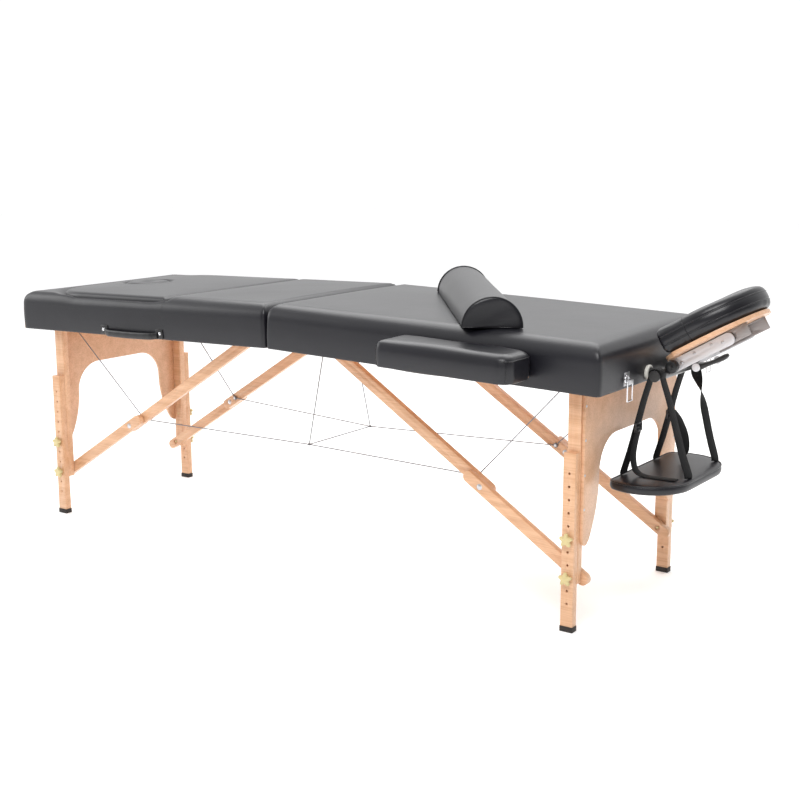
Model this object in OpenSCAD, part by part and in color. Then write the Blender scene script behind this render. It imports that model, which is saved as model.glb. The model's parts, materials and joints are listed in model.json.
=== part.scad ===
// Portable folding massage table: two padded halves that fold like a case, with folding legs,
// telescoping feet, a lift-up backrest, a face cradle, an arm sling, armrests and a bolster.
// Millimetres. +X runs from the foot end to the head end, +Z is up, and the floor is at Z = 0.

/* [Table top] */
// Length of each half of the top, from the fold to its end
half_l = 925; // [915:1:935]
// Width of the top, over the cover
top_w = 603; // [600:1:610]
// Height of the underside of the frame above the floor, at the fold
fold_height = 574; // [570:1:580]
// Fall of each half from the fold to its end, in degrees
crown = 1.4; // [1.2:0.1:1.6]
// Height of the wooden rails
rail_h = 56; // [56:1:58]
// Thickness of the wooden rails
rail_t = 16; // [15:0.5:17]
// Thickness of the plywood deck
deck_t = 4; // [3:0.5:5]
// Thickness of the foam pad on the deck
pad_t = 51; // [45:1:55]

/* [Legs] */
// Distance from the fold to the leg pivot, along the top
pivot_reach = 840; // [836:1:844]
// Width of an upper post, along the table
post_w = 31; // [29:1:31]
// Thickness of the posts, across the table
post_t = 19; // [17:1:19]
// Distance from the middle plane to the outer face of the lower posts
leg_outer = 264.5; // [262:0.5:265]
// Width of a lower post, along the table
lower_post_w = 30; // [28:1:30]
// Height of the top of the lower posts above the floor
lower_post_top = 412; // [405:1:420]
// Distance from one height hole to the next
hole_pitch = 30; // [30:1:30]
// Number of height holes in each lower post
hole_count = 11; // [11:1:11]
// Height of the lowest hole above the floor
first_hole_z = 66; // [64:1:68]

/* [Braces] */
// Width of a brace, in its own plane
brace_w = 28; // [24:1:28]
// Thickness of a brace, across the table
brace_t = 16; // [14:1:16]
// Distance from the fold to the upper pivot of the braces
brace_root = 75; // [70:1:90]

/* [Backrest] */
// Distance from the fold to the seam that the backrest turns on
backrest_seam = 361; // [355:1:365]
// Length of the backrest from its seam to its rounded end
backrest_l = 481; // [475:1:485]
// Radius of the two rounded corners of the backrest
backrest_r = 141; // [130:1:145]
// Radius of the face hole
face_hole_r = 67; // [60:1:70]

/* [Accessories] */
// Length of an armrest
armrest_l = 345; // [340:5:360]
// Width of an armrest
armrest_w = 112; // [105:1:120]
// Radius of the half-round bolster
bolster_r = 68; // [60:1:72]
// Length of the bolster
bolster_l = 620; // [580:10:640]
// Slope of the face cradle, in degrees
cradle_slope = 31.5; // [29:0.5:33]
// Length of the face cushion along its slope
face_l = 212; // [205:1:225]
// Width of the face cushion
face_w = 260; // [255:1:270]

/* [Hidden] */
$fn = 48;
gap = 0.3;                  // running gap between pieces that move past each other
cover_t = 3;                // vinyl cover on the sides of the frame
pin_fit = 0.05;             // radial clearance of a pin in its bore
fold_x = -121.5;              // the fold's place along the table, which centres the whole object
cushion_z = rail_h + deck_t;
top_z = cushion_z + pad_t;
side_y = top_w / 2;
rail_out = side_y - cover_t;
rail_in = rail_out - rail_t;
rail_x = 5;
end_x = half_l - cover_t;

// the leg pivot and what follows from it, in a half's own frame: [distance from the fold, height]
pivot_z = 38;
pivot_rod_r = 5;
leg_x = pivot_reach * cos(crown) + pivot_z * sin(crown);
leg_pivot_z = fold_height - pivot_reach * sin(crown) + pivot_z * cos(crown);
post_out = leg_outer - post_t;
post_in = post_out - post_t;
post_foot_z = 110;
bolt_r = 3;
bolt_hole_r = bolt_r + pin_fit;
low_bolt_z = first_hole_z + 2 * hole_pitch;
high_bolt_z = first_hole_z + 5 * hole_pitch;
foot_cap_h = 13;

// the brace linkage: it lies straight when the leg stands, and doubles back when the leg is in
leg_to_bolt = leg_pivot_z - low_bolt_z;
brace_foot = [pivot_reach + leg_to_bolt * sin(crown), pivot_z - leg_to_bolt * cos(crown)];
brace_head = [brace_root, pivot_z];
brace_span = norm(brace_foot - brace_head);
brace_nest = pivot_reach - leg_to_bolt - brace_root;
lower_brace_l = (brace_span - brace_nest) / 2;
upper_brace_l = (brace_span + brace_nest) / 2;
brace_knee = brace_head + (brace_foot - brace_head) * upper_brace_l / brace_span;
brace_angle = atan2(brace_head[1] - brace_foot[1], brace_foot[0] - brace_head[0]);
brace_lap = 31;
brace_dir = [cos(brace_angle), -sin(brace_angle)];
stop_pin = brace_knee - brace_dir * brace_lap;
brace_rod_r = 4;
lower_brace_y = post_in - 1 - brace_t;
upper_brace_y = lower_brace_y - 1 - brace_t;
sunk_r = 7.5;
sunk_h = 3;

// the fold's hinges, and the latches at the ends
hinge_axis_z = -3;
hinge_axis_x = -hinge_axis_z * tan(crown);
hinge_pin_r = 3;
knuckle_r = 5;
hinge_ys = [-215, 0, 215];
latch_ys = [-173, 265];
latch_z = 15;
latch_x = 10;
bail_r = 1.7;

// steel stay cables, in the frame of the floor with distances from the fold
cable_r = 1.4;
cable_node = [0, 135, 295];
eye_y = -upper_brace_y + 1;
cable_knee = [stop_pin[0] * cos(crown) + stop_pin[1] * sin(crown), -eye_y - 1.5,
    fold_height - stop_pin[0] * sin(crown) + stop_pin[1] * cos(crown)];
cable_end = [leg_x, 221, leg_pivot_z];
wire_top = [0, 60, 571];

// the arch panel's outline: [distance from the middle plane, height]
panel_t = 8;
panel_half_w = 240;
panel_top = 545;
arch_corner = [86, 351];
arch_corner_r = 80;
wing_centre = [429, 351];
wing_r = wing_centre[0] - arch_corner[0] - arch_corner_r;
wing_sweep = 34;
tip_centre = [226, 210];
tip_r = 14;

// the face cradle, with lengths along its slope from its pivot
dowel_z = 20;
dowel_r = 11;
dowel_y = 65;
dowel_in = 815;
crossbar_x = 960;
crossbar_r = 13;
cradle_pivot = [988, 41];
arm_reach = 140;
platform_t = 9;
platform_n = 17;
face_t = 60;
face_start = 20;
face_hole_w = 104;
lever_root = [44, -24];

// the arm sling, in the frame of the floor with distances from the fold
shelf_chord_x = 885;
shelf_depth = 160;
shelf_half_w = 180;
shelf_r = 100;
shelf_top = 338;
shelf_t = 22;
sling_x = crossbar_x * cos(crown) + dowel_z * sin(crown);
sling_z = fold_height - crossbar_x * sin(crown) + dowel_z * cos(crown);
loop_r = crossbar_r + gap;
strap_y = 89;
strap_w = 24;

armrest_x = 424;
armrest_low = 22;
armrest_top = 86;
armrest_board_t = 8;
armrest_pin_r = 8;
armrest_pin_z = 36;
armrest_pins = [55, 290];

black = "#26262c";
beech = "#dba06f";
ply = "#d8a880";
steel = "#b9bcc2";

head = 1;
foot = -1;
near = -1;
far = 1;

// ---- frames and common shapes ----

// mirrors to the foot end where side is -1
module on_end(side) {
    if (side > 0) children();
    else mirror([1, 0, 0]) children();
}

// mirrors to the far side where side is 1: shapes are drawn on the near side, at negative Y
module on_side(side) {
    if (side < 0) children();
    else mirror([0, 1, 0]) children();
}

module both_sides() {
    children();
    mirror([0, 1, 0]) children();
}

// the frame of a half: X from the fold to its end, Z from the underside of its rails
module at_half(side) {
    translate([fold_x, 0, fold_height]) on_end(side) rotate([0, crown, 0]) children();
}

// the upright frame of a leg: X = 0 at its pivot, pointing away from the fold, Z from the floor
module at_leg(side) {
    translate([fold_x, 0, 0]) on_end(side) translate([leg_x, 0, 0]) children();
}

// the level frame of the floor, with X from the fold
module at_fold(side) {
    translate([fold_x, 0, 0]) on_end(side) children();
}

// a rod across the table from y0 to y1
module rod_y(x, z, y0, y1, r) {
    translate([x, y0, z]) rotate([-90, 0, 0]) cylinder(r = r, h = y1 - y0);
}

// a rod along the table from x0 to x1
module rod_x(y, z, x0, x1, r) {
    translate([x0, y, z]) rotate([0, 90, 0]) cylinder(r = r, h = x1 - x0);
}

// turns the Z axis from point a towards point b and gives the children that length as $len
module along(a, b) {
    d = b - a;
    $len = norm(d);
    translate(a) rotate([0, acos(d[2] / $len), atan2(d[1], d[0])]) children();
}

module wire(a, b, r) {
    along(a, b) cylinder(r = r, h = $len, $fn = 16);
}

function arc(centre, r, from, to, steps) =
    [for (i = [0 : steps]) let (a = from + (to - from) * i / steps) centre + r * [cos(a), sin(a)]];

function mirrored(points) =
    [for (i = [len(points) - 1 : -1 : 0]) [-points[i][0], points[i][1]]];

// a rectangle from [0, 0] whose two upper corners are rounded by r0 and r1
module round_top_2d(w, h, r0, r1) {
    square([w, h - max(r0, r1)]);
    translate([r0, 0]) square([w - r0 - r1, h]);
    square([r0, h - r0]);
    translate([w - r1, 0]) square([r1, h - r1]);
    intersection() {
        square([w, h]);
        union() {
            translate([r0, h - r0]) circle(r0);
            translate([w - r1, h - r1]) circle(r1);
        }
    }
}

// a pad from x0 to x1 over the whole width, with rounded upper edges
module pad(x0, x1, r0, r1, side_r) {
    intersection() {
        translate([x0, 0, 0]) rotate([90, 0, 0]) linear_extrude(top_w + 2, center = true)
            round_top_2d(x1 - x0, pad_t, r0, r1);
        translate([x0, -side_y, 0]) rotate([90, 0, 90]) linear_extrude(x1 - x0)
            round_top_2d(top_w, pad_t, side_r, side_r);
    }
}

// the backrest's outline: square at its seam, with rounded corners at its far end
module backrest_2d(x0, x1, half_w, r) {
    translate([x0, -half_w]) square([x1 - x0 - r, 2 * half_w]);
    translate([x0, r - half_w]) square([x1 - x0, 2 * (half_w - r)]);
    for (s = [-1, 1]) translate([x1 - r, s * (half_w - r)]) circle(r, $fn = 96);
}

// ---- the two halves of the top ----

module rails() {
    both_sides() translate([rail_x, -rail_out, 0]) cube([end_x - rail_x, rail_t, rail_h]);
    for (x = [rail_x, end_x - rail_t])
        translate([x, gap / 2 - rail_in, 0]) cube([rail_t, 2 * rail_in - gap, rail_h]);
}

module rod_sockets() {
    reach = rail_in + 8 + pin_fit;
    rod_y(pivot_reach, pivot_z, -reach, reach, pivot_rod_r + pin_fit);
    rod_y(brace_root, pivot_z, -reach, reach, brace_rod_r + pin_fit);
}

// the rod that a leg hangs from, free to turn in the rails and in the posts
module leg_rod(side) {
    color(steel) at_half(side)
        rod_y(pivot_reach, pivot_z, -rail_in - 8, rail_in + 8, pivot_rod_r);
}

module skirts() {
    height = cushion_z - gap;
    both_sides() translate([rail_x, -side_y, -1]) cube([end_x - rail_x, cover_t - gap, height]);
    translate([end_x + gap, -side_y, -1]) cube([cover_t - gap, top_w, height]);
    translate([1.5, -side_y, 3]) cube([cover_t, top_w, height - 4]);
}

module bush_bores(r_extra) {
    both_sides() rod_x(-dowel_y, dowel_z, end_x - rail_t - 1, half_l + 1, dowel_r + 2 + r_extra);
    both_sides() for (x = armrest_pins)
        rod_y(armrest_x + x, armrest_pin_z, -side_y - 1, -rail_in + 1, armrest_pin_r + 2 + r_extra);
}

module head_frame() {
    color(beech) at_half(head) {
        difference() {
            rails();
            rod_sockets();
            bush_bores(pin_fit);
        }
        translate([rail_x, -rail_out, rail_h + 0.1])
            cube([end_x - rail_x, 2 * rail_out, deck_t - 0.2]);
    }
}

module head_cushion() {
    color(black) at_half(head) {
        translate([0, 0, cushion_z]) pad(1.5, half_l, 14, 30, 26);
        difference() {
            skirts();
            bush_bores(pin_fit);
        }
    }
}

module rail_bushes() {
    flange_t = 2;
    color("#e8e6e0") at_half(head) {
        both_sides() difference() {
            union() {
                rod_x(-dowel_y, dowel_z, end_x - rail_t, half_l + gap, dowel_r + 2);
                rod_x(-dowel_y, dowel_z, half_l + gap, half_l + gap + flange_t, dowel_r + 6);
            }
            rod_x(-dowel_y, dowel_z, end_x - rail_t - 1, half_l + 5, dowel_r + pin_fit);
        }
        both_sides() for (x = armrest_pins) difference() {
            rod_y(armrest_x + x, armrest_pin_z, -side_y - gap, -rail_in, armrest_pin_r + 2);
            rod_y(armrest_x + x, armrest_pin_z, -side_y - 1, -rail_in + 1, armrest_pin_r + pin_fit);
        }
    }
}

// opening in the deck under the backrest, with the cross strip that its prop stands on
deck_open = [[390, 505], [535, 820]];
deck_open_y = 245;

module foot_frame() {
    color(beech) at_half(foot) {
        difference() {
            rails();
            rod_sockets();
        }
        difference() {
            translate([rail_x, -rail_out, rail_h + 0.1])
                cube([end_x - rail_x, 2 * rail_out, deck_t - 0.2]);
            for (span = deck_open)
                translate([span[0], -deck_open_y, rail_h - 1])
                    cube([span[1] - span[0], 2 * deck_open_y, deck_t + 2]);
        }
    }
}

module foot_cushion() {
    color(black) at_half(foot) {
        translate([0, 0, cushion_z]) pad(1.5, backrest_seam - 2, 14, 10, 26);
        skirts();
    }
}

module foot_surround() {
    color(black) at_half(foot) difference() {
        translate([0, 0, cushion_z]) pad(backrest_seam - 1, half_l, 10, 34, 26);
        translate([0, 0, cushion_z - 1]) linear_extrude(pad_t + 2)
            backrest_2d(backrest_seam - 30, backrest_seam + backrest_l + 2, 286, backrest_r + 2);
    }
}

// ---- fittings ----

// one leaf of a fold hinge, with its knuckles at the given spans along the pin
module hinge_leaf(knuckles) {
    difference() {
        union() {
            translate([5.5, -20, -2.2]) cube([30, 40, 2]);
            for (k = knuckles) {
                translate([0, k[0], -2.2]) cube([6, k[1] - k[0], 2]);
                rod_y(hinge_axis_x, hinge_axis_z, k[0], k[1], knuckle_r);
            }
        }
        rod_y(hinge_axis_x, hinge_axis_z, -21, 21, hinge_pin_r + pin_fit);
    }
}

module hinge_pins() {
    color(steel) translate([fold_x, 0, fold_height])
        for (y = hinge_ys) let (half = y == 0 ? 64 : 22)
            rod_y(0, hinge_axis_z, y - half, y + half, hinge_pin_r);
}

module head_fittings() {
    color(steel) at_half(head) {
        for (y = hinge_ys) translate([0, y, 0]) hinge_leaf([[-20, -7], [7, 20]]);
        for (y = latch_ys) difference() {
            translate([half_l + gap, y - 13, latch_z - 9]) union() {
                cube([2, 26, 30]);
                translate([0, 3, 4]) cube([latch_x + 3, 20, 10]);
            }
            rod_y(half_l + latch_x, latch_z, y - 14, y + 14, bail_r + pin_fit);
        }
    }
}

module foot_fittings() {
    color(steel) at_half(foot) {
        for (y = hinge_ys) translate([0, y, 0]) hinge_leaf([[-6.5, 6.5]]);
        for (y = latch_ys) translate([half_l + gap, y - 11, 8]) {
            cube([2, 22, 24]);
            translate([0, 4, 7]) cube([7.5, 14, 3]);
            translate([6, 4, 7]) cube([1.5, 14, 8]);
        }
    }
}

// a bail of round wire that hangs from the latch's block and hooks over the other half's strike
module latch_bail(y) {
    half_w = 12.2;
    drop = 42;
    color(steel) at_half(head) translate([half_l + latch_x, y, latch_z]) rotate([0, -crown, 0]) {
        for (z = [0, -drop]) rod_y(0, z, -half_w, half_w, bail_r);
        for (s = [-1, 1]) translate([0, s * half_w, -drop]) cylinder(r = bail_r, h = drop);
        for (s = [-1, 1], z = [0, -drop]) translate([0, s * half_w, z]) sphere(bail_r);
    }
}

// a padded carry handle on the near side: two screwed tabs and a grip that stands off
module carry_handle(side) {
    x0 = 356;
    x1 = 593;
    grip_y = -(side_y + 16);
    grip_z = 7;
    grip_r = 8;
    tab = 26;
    color(black) at_half(side) {
        for (x = [x0, x1 - tab])
            translate([x, -side_y - 3.2, 2]) cube([tab, 3, 24]);
        rod_x(grip_y, grip_z, x0 + tab, x1 - tab, grip_r);
        for (x = [x0 + tab - 8, x1 - tab - 4])
            translate([x, grip_y - 4, 2]) cube([12, -side_y - 3 - grip_y + 4, 10]);
    }
}

// a ring across the table, at p in the frame of the floor
module eye(p, bore_r, rim = 3) {
    difference() {
        rod_y(p[0], p[2], -p[1] - 1.5, -p[1] + 1.5, bore_r + rim);
        rod_y(p[0], p[2], -p[1] - 2, -p[1] + 2, bore_r);
    }
}

// each cable runs from the middle ferrule to the brace's stop pin, and up to the leg's rod
module stay_cables(side) {
    rise = cable_end - cable_knee;
    run = cable_knee - cable_node;
    a = cable_node + run * 3 / norm(run);
    b = cable_knee - run * 4.6 / norm(run);
    c = cable_knee + rise * 4.6 / norm(rise);
    d = cable_end - rise * 6.6 / norm(rise);
    color(steel) at_fold(side) both_sides() {
        wire([a[0], -a[1], a[2]], [b[0], -b[1], b[2]], cable_r);
        wire([c[0], -c[1], c[2]], [d[0], -d[1], d[2]], cable_r);
        eye(cable_knee, bolt_r + pin_fit);
        eye(cable_end, pivot_rod_r + pin_fit);
    }
}

module centre_stay_wire() {
    p = cable_node;
    color(steel) at_fold(head) {
        both_sides() wire([0, -p[1] + 1, p[2] + 2], [0, -wire_top[1], wire_top[2] - 4], cable_r);
        wire([0, -p[1] + 2, p[2]], [0, p[1] - 2, p[2]], cable_r);
        both_sides() rod_x(-p[1], p[2], -2.5, 2.5, 3);
        both_sides() eye(wire_top, hinge_pin_r + pin_fit, 1.6);
    }
}

// ---- backrest ----

backrest_z = cushion_z + 0.5;
board_t = 8;
face_hole_x = 717;
prop_x = 575;
prop_z = 52;
prop_l = 228;
prop_y = 170;
prop_r = 4;

module backrest_board() {
    color(ply) at_half(foot) {
        difference() {
            translate([0, 0, backrest_z]) linear_extrude(board_t)
                backrest_2d(backrest_seam + 3, backrest_seam + backrest_l - 2, 281, backrest_r - 3);
            translate([face_hole_x, 0, backrest_z - 1]) cylinder(r = face_hole_r, h = board_t + 2);
        }
        both_sides() difference() {
            translate([prop_x - 9, -prop_y + 6, prop_z - 6]) cube([18, 3, backrest_z - prop_z + 6]);
            rod_y(prop_x, prop_z, -prop_y + 5, -prop_y + 10, prop_r + pin_fit);
        }
    }
}

module backrest_cushion() {
    low = backrest_z + board_t;
    color(black) at_half(foot) difference() {
        translate([0, 0, low]) linear_extrude(top_z + 3 - low)
            backrest_2d(backrest_seam + 1, backrest_seam + backrest_l, 284, backrest_r);
        translate([face_hole_x, 0, low - 1]) cylinder(r = face_hole_r, h = pad_t + 5);
    }
}

module backrest_prop() {
    color(steel) at_half(foot) {
        both_sides() rod_x(-prop_y, prop_z, prop_x, prop_x + prop_l, prop_r);
        both_sides() rod_y(prop_x, prop_z, -prop_y, -prop_y + 12, prop_r);
        rod_y(prop_x + prop_l, prop_z, -prop_y, prop_y, prop_r);
        both_sides() for (x = [0, prop_l]) translate([prop_x + x, -prop_y, prop_z]) sphere(prop_r);
    }
}

module face_plug() {
    color(black) at_half(foot) translate([face_hole_x, 0, backrest_z])
        cylinder(r = face_hole_r - 0.7, h = top_z + 3 - backrest_z);
}

// ---- legs ----

module leg_posts(side) {
    color(beech) at_leg(side) both_sides() difference() {
        union() {
            translate([-post_w / 2, -post_out, post_foot_z])
                cube([post_w, post_t, leg_pivot_z - post_foot_z]);
            rod_y(0, leg_pivot_z, -post_out, -post_in, post_w / 2);
        }
        rod_y(0, leg_pivot_z, -post_out - 1, -post_in + 1, pivot_rod_r + pin_fit);
        for (z = [low_bolt_z, high_bolt_z])
            rod_y(0, z, -post_out - 1, -post_in + 1, bolt_hole_r);
    }
}

module arch_panel(side) {
    half_outline = concat(
        arc(tip_centre, tip_r, 0, wing_sweep - 180, 10),
        arc(wing_centre, wing_r, 180 + wing_sweep, 180, 10),
        arc(arch_corner, arch_corner_r, 0, 90, 16));
    outline = concat([[panel_half_w, panel_top]], half_outline,
        mirrored(half_outline), [[-panel_half_w, panel_top]]);
    color(ply) at_leg(side) translate([post_w / 2 + 0.1, 0, 0]) rotate([90, 0, 90])
        linear_extrude(panel_t) polygon(outline);
}

module lower_post(end, side) {
    color(beech) at_leg(end) on_side(side) difference() {
        translate([-lower_post_w / 2, -leg_outer, foot_cap_h - 5])
            cube([lower_post_w, post_t - gap, lower_post_top - foot_cap_h + 5]);
        for (i = [0 : hole_count - 1])
            rod_y(0, first_hole_z + i * hole_pitch, -leg_outer - 1, -post_out + 1, bolt_hole_r);
    }
}

module foot_cap(end, side) {
    wall = 1.2;
    color("#2b2624") at_leg(end) on_side(side) difference() {
        translate([-lower_post_w / 2 - wall, -leg_outer - wall, 0])
            cube([lower_post_w + 2 * wall, post_t - gap + 2 * wall, foot_cap_h]);
        translate([-lower_post_w / 2, -leg_outer, foot_cap_h - 5.05])
            cube([lower_post_w, post_t - gap, 6]);
    }
}

// a five-lobed knob on a bolt that runs through both posts; the low one also holds the brace
module star_knob(end, side, low) {
    z = low ? low_bolt_z : high_bolt_z;
    bolt_end = low ? -lower_brace_y - sunk_h + 0.1 : -post_in + 0.2;
    face = -leg_outer - gap;
    color("#d9c98f") at_leg(end) on_side(side) {
        rod_y(0, z, face - 5, face, 8);
        rod_y(0, z, face - 14, face - 4, 9);
        for (i = [0 : 4]) let (a = 90 + 72 * i)
            rod_y(11 * cos(a), z + 11 * sin(a), face - 13, face - 4, 6);
        rod_y(0, z, face, bolt_end, bolt_r);
        if (low) rod_y(0, z, bolt_end, bolt_end + sunk_h - 0.5, sunk_r - 0.4);
    }
}

// ---- braces ----

// a flat bar with round ends, from point a to point b in the plane of the half, at y0 to y0 + t
module brace_bar(a, b, y0, t) {
    d = b - a;
    w = brace_w / 2;
    outline = concat(arc([norm(d), 0], w, -90, 90, 14), arc([0, 0], w, 90, 270, 14));
    translate([a[0], y0 + t, a[1]]) rotate([0, -atan2(d[1], d[0]), 0]) rotate([90, 0, 0])
        linear_extrude(t) polygon(outline);
}

// half of a knee bolt, sunk in the brace's outer face, which ends at the plane between the braces
module knee_bolt(p, y_face, y_mid) {
    inward = sign(y_mid - y_face);
    low = min(y_face, y_mid);
    rod_y(p[0], p[1], low + gap / 2, low + brace_t - gap / 2, bolt_r);
    head_y = inward > 0 ? y_face + 0.2 : y_face - sunk_h + 0.3;
    rod_y(p[0], p[1], head_y, head_y + sunk_h - 0.5, sunk_r - 0.3);
}

module knee_bores(p, y_face, y_mid) {
    inward = sign(y_mid - y_face);
    low = min(y_face, y_mid);
    rod_y(p[0], p[1], low - 1, low + brace_t + 1, bolt_r + 0.1);
    rod_y(p[0], p[1], inward > 0 ? y_face - 1 : y_face - sunk_h, inward > 0 ? y_face + sunk_h : y_face + 1,
        sunk_r);
}

module upper_braces(side) {
    y_face = -upper_brace_y;
    y_mid = -upper_brace_y - brace_t;
    color(beech) at_half(side) both_sides() {
        difference() {
            brace_bar(brace_head, brace_knee + brace_dir * 14, y_mid, brace_t);
            rod_y(brace_head[0], brace_head[1], y_mid - 1, y_face + 1, brace_rod_r + pin_fit);
            knee_bores(brace_knee, y_face, y_mid);
            rod_y(stop_pin[0], stop_pin[1], y_mid - 1, y_face + 1, bolt_r + 0.1);
        }
        knee_bolt(brace_knee, y_face, y_mid);
        rod_y(stop_pin[0], stop_pin[1], y_mid + gap, eye_y + 3.2, bolt_r);
        rod_y(stop_pin[0], stop_pin[1], eye_y + 3.2, eye_y + 5, bolt_r + 0.8);
    }
    color(steel) at_half(side)
        rod_y(brace_head[0], brace_head[1], -rail_in - 8, rail_in + 8, brace_rod_r);
}

module lower_braces(side) {
    y_face = -lower_brace_y - brace_t;
    y_mid = -lower_brace_y;
    color(beech) at_half(side) both_sides() {
        difference() {
            brace_bar(stop_pin - brace_dir * 6, brace_foot + brace_dir * 20, y_face, brace_t);
            rod_y(brace_foot[0], brace_foot[1], y_face - 1, y_mid + 1, bolt_hole_r);
            rod_y(brace_foot[0], brace_foot[1], y_mid - sunk_h, y_mid + 1, sunk_r);
            knee_bores(brace_knee, y_face, y_mid);
        }
        knee_bolt(brace_knee, y_face, y_mid);
    }
}

// ---- face cradle and arm sling ----

module at_cradle() {
    at_half(head) translate([cradle_pivot[0], 0, cradle_pivot[1]]) rotate([0, -cradle_slope, 0])
        children();
}

ear_y = 46;
bracket_y = 54;
arm_y = 60;
plate_t = 3;

module headrest_base() {
    axle_r = 4;
    color("#3a3733") at_half(head) {
        both_sides() rod_x(-dowel_y, dowel_z, dowel_in, crossbar_x, dowel_r);
        rod_y(crossbar_x, dowel_z, -104, 104, crossbar_r);
        both_sides() {
            rod_y(cradle_pivot[0], cradle_pivot[1], -ear_y - 6, -ear_y, 12);
            translate([crossbar_x, -ear_y - 6, dowel_z])
                rotate([0, -atan2(cradle_pivot[1] - dowel_z, cradle_pivot[0] - crossbar_x), 0])
                    translate([0, 0, -9]) cube([35, 6, 18]);
        }
        rod_y(cradle_pivot[0], cradle_pivot[1], -arm_y - 26, arm_y + 8, axle_r);
    }
}

module pivot_knob() {
    axle_r = 4;
    y0 = -arm_y - plate_t - 20;
    color("#1d1d20") at_half(head) difference() {
        union() {
            rod_y(cradle_pivot[0], cradle_pivot[1], y0, y0 + 16, 15);
            rod_y(cradle_pivot[0], cradle_pivot[1], y0 + 16, y0 + 19, 9);
        }
        rod_y(cradle_pivot[0], cradle_pivot[1], y0 - 1, y0 + 20, axle_r + pin_fit);
    }
}

module cradle_arms() {
    axle_r = 4;
    color("#e9e9ec") at_cradle() {
        both_sides() difference() {
            union() {
                translate([0, -arm_y - plate_t, -14]) cube([arm_reach + 2, plate_t, 28]);
                rod_y(0, 0, -arm_y - plate_t, -arm_y, 14);
                rod_y(arm_reach, 0, -arm_y - plate_t, -arm_y, 14);
                rod_y(lever_root[0], lever_root[1], -arm_y - plate_t, -arm_y, 9);
            }
            rod_y(0, 0, -arm_y - plate_t - 1, -arm_y + 1, axle_r + pin_fit);
        }
        rod_y(arm_reach, 0, -arm_y - 1, arm_y + 1, axle_r);
        rod_y(lever_root[0], lever_root[1], -arm_y - 1, arm_y + 1, axle_r);
    }
}

module cradle_brackets() {
    axle_r = 4;
    color("#8d8f95") at_cradle() both_sides() difference() {
        union() {
            translate([60, -bracket_y - plate_t, -12]) cube([130, plate_t, platform_n + 12 - gap]);
            translate([24, -bracket_y - plate_t, 3]) cube([40, plate_t, platform_n - 3 - gap]);
            translate([70, -bracket_y, platform_n - 2 - gap]) cube([115, 20, 2]);
        }
        rod_y(arm_reach, 0, -bracket_y - plate_t - 1, -bracket_y + 1, axle_r + pin_fit);
    }
}

// the cradle's horseshoe outline, open towards the table
module horseshoe_2d(x0, x1, w, hole_w) {
    r = w / 2;
    hole_r = hole_w / 2;
    hole_end = x1 - (w - hole_w) / 2 - hole_r - 12;
    difference() {
        union() {
            translate([x0 + 24, -r]) square([x1 - r - x0 - 24, w]);
            translate([x0, -r + 24]) square([30, w - 48]);
            for (s = [-1, 1]) translate([x0 + 24, s * (r - 24)]) circle(24);
            translate([x1 - r, 0]) circle(r, $fn = 96);
        }
        translate([x0 - 20, -hole_r]) square([hole_end - x0 + 20, hole_w]);
        translate([hole_end, 0]) circle(hole_r);
    }
}

module cradle_platform() {
    color(ply) at_cradle() translate([0, 0, platform_n]) linear_extrude(platform_t)
        horseshoe_2d(face_start + 4, face_start + face_l - 12, face_w - 14, face_hole_w + 6);
}

module face_cushion() {
    color(black) at_cradle() translate([0, 0, platform_n + platform_t + gap])
        linear_extrude(face_t) horseshoe_2d(face_start, face_start + face_l, face_w, face_hole_w);
}

module cam_lever() {
    axle_r = 4;
    width = 22;
    y0 = -arm_y + 3;
    color("#1d1d20") at_cradle() translate([lever_root[0], y0, lever_root[1]]) difference() {
        union() {
            rod_y(0, 0, 0, width, 9);
            translate([0, 3, -9]) cube([64, width - 6, 9]);
            rod_y(66, -5, 2, width - 2, 9);
        }
        rod_y(0, 0, -1, width + 1, axle_r + pin_fit);
    }
}

// a straight back edge towards the table, full rounded sides and a nearly straight front
module shelf_2d() {
    x = shelf_chord_x + shelf_depth - shelf_r;
    y = shelf_half_w - shelf_r;
    intersection() {
        union() {
            for (s = [-1, 1]) translate([x, s * y]) circle(shelf_r, $fn = 96);
            translate([x - shelf_r, -y]) square([2 * shelf_r, 2 * y]);
        }
        translate([shelf_chord_x, -shelf_half_w - 1]) square([shelf_depth + 1, 2 * shelf_half_w + 2]);
    }
}

module arm_shelf() {
    color(black) at_fold(head) translate([0, 0, shelf_top - shelf_t]) linear_extrude(shelf_t)
        shelf_2d();
}

// a flat strap between two points, with its width across the table
module strap(a, b) {
    along(a, b) translate([-0.8, -strap_w / 2, 0]) cube([1.6, strap_w, $len]);
}

// each loop on the crossbar carries two straps, which end on the shelf
strap_ends = [[892, -98], [1031, -62], [891, 79], [1016, 128]];

module sling_straps() {
    loop_out = loop_r + 2;
    color("#1b1b1e") at_fold(head) {
        both_sides() difference() {
            rod_y(sling_x, sling_z, -strap_y - strap_w / 2, -strap_y + strap_w / 2, loop_out);
            rod_y(sling_x, sling_z, -strap_y - strap_w, -strap_y + strap_w, loop_r);
        }
        for (i = [0 : 3]) let (e = strap_ends[i], s = i < 2 ? -1 : 1, dx = i % 2 == 0 ? -7 : 7)
            strap([sling_x + dx, s * strap_y, sling_z - loop_r - 2], [e[0], e[1], shelf_top + 1]);
        for (i = [0, 2]) let (e = strap_ends[i], s = i < 2 ? -1 : 1)
            translate([(sling_x + e[0]) / 2 - 4, (s * strap_y + e[1]) / 2, (sling_z + shelf_top) / 2])
                cube([9, strap_w + 6, 22], center = true);
    }
}

// ---- armrests and bolster ----

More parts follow.
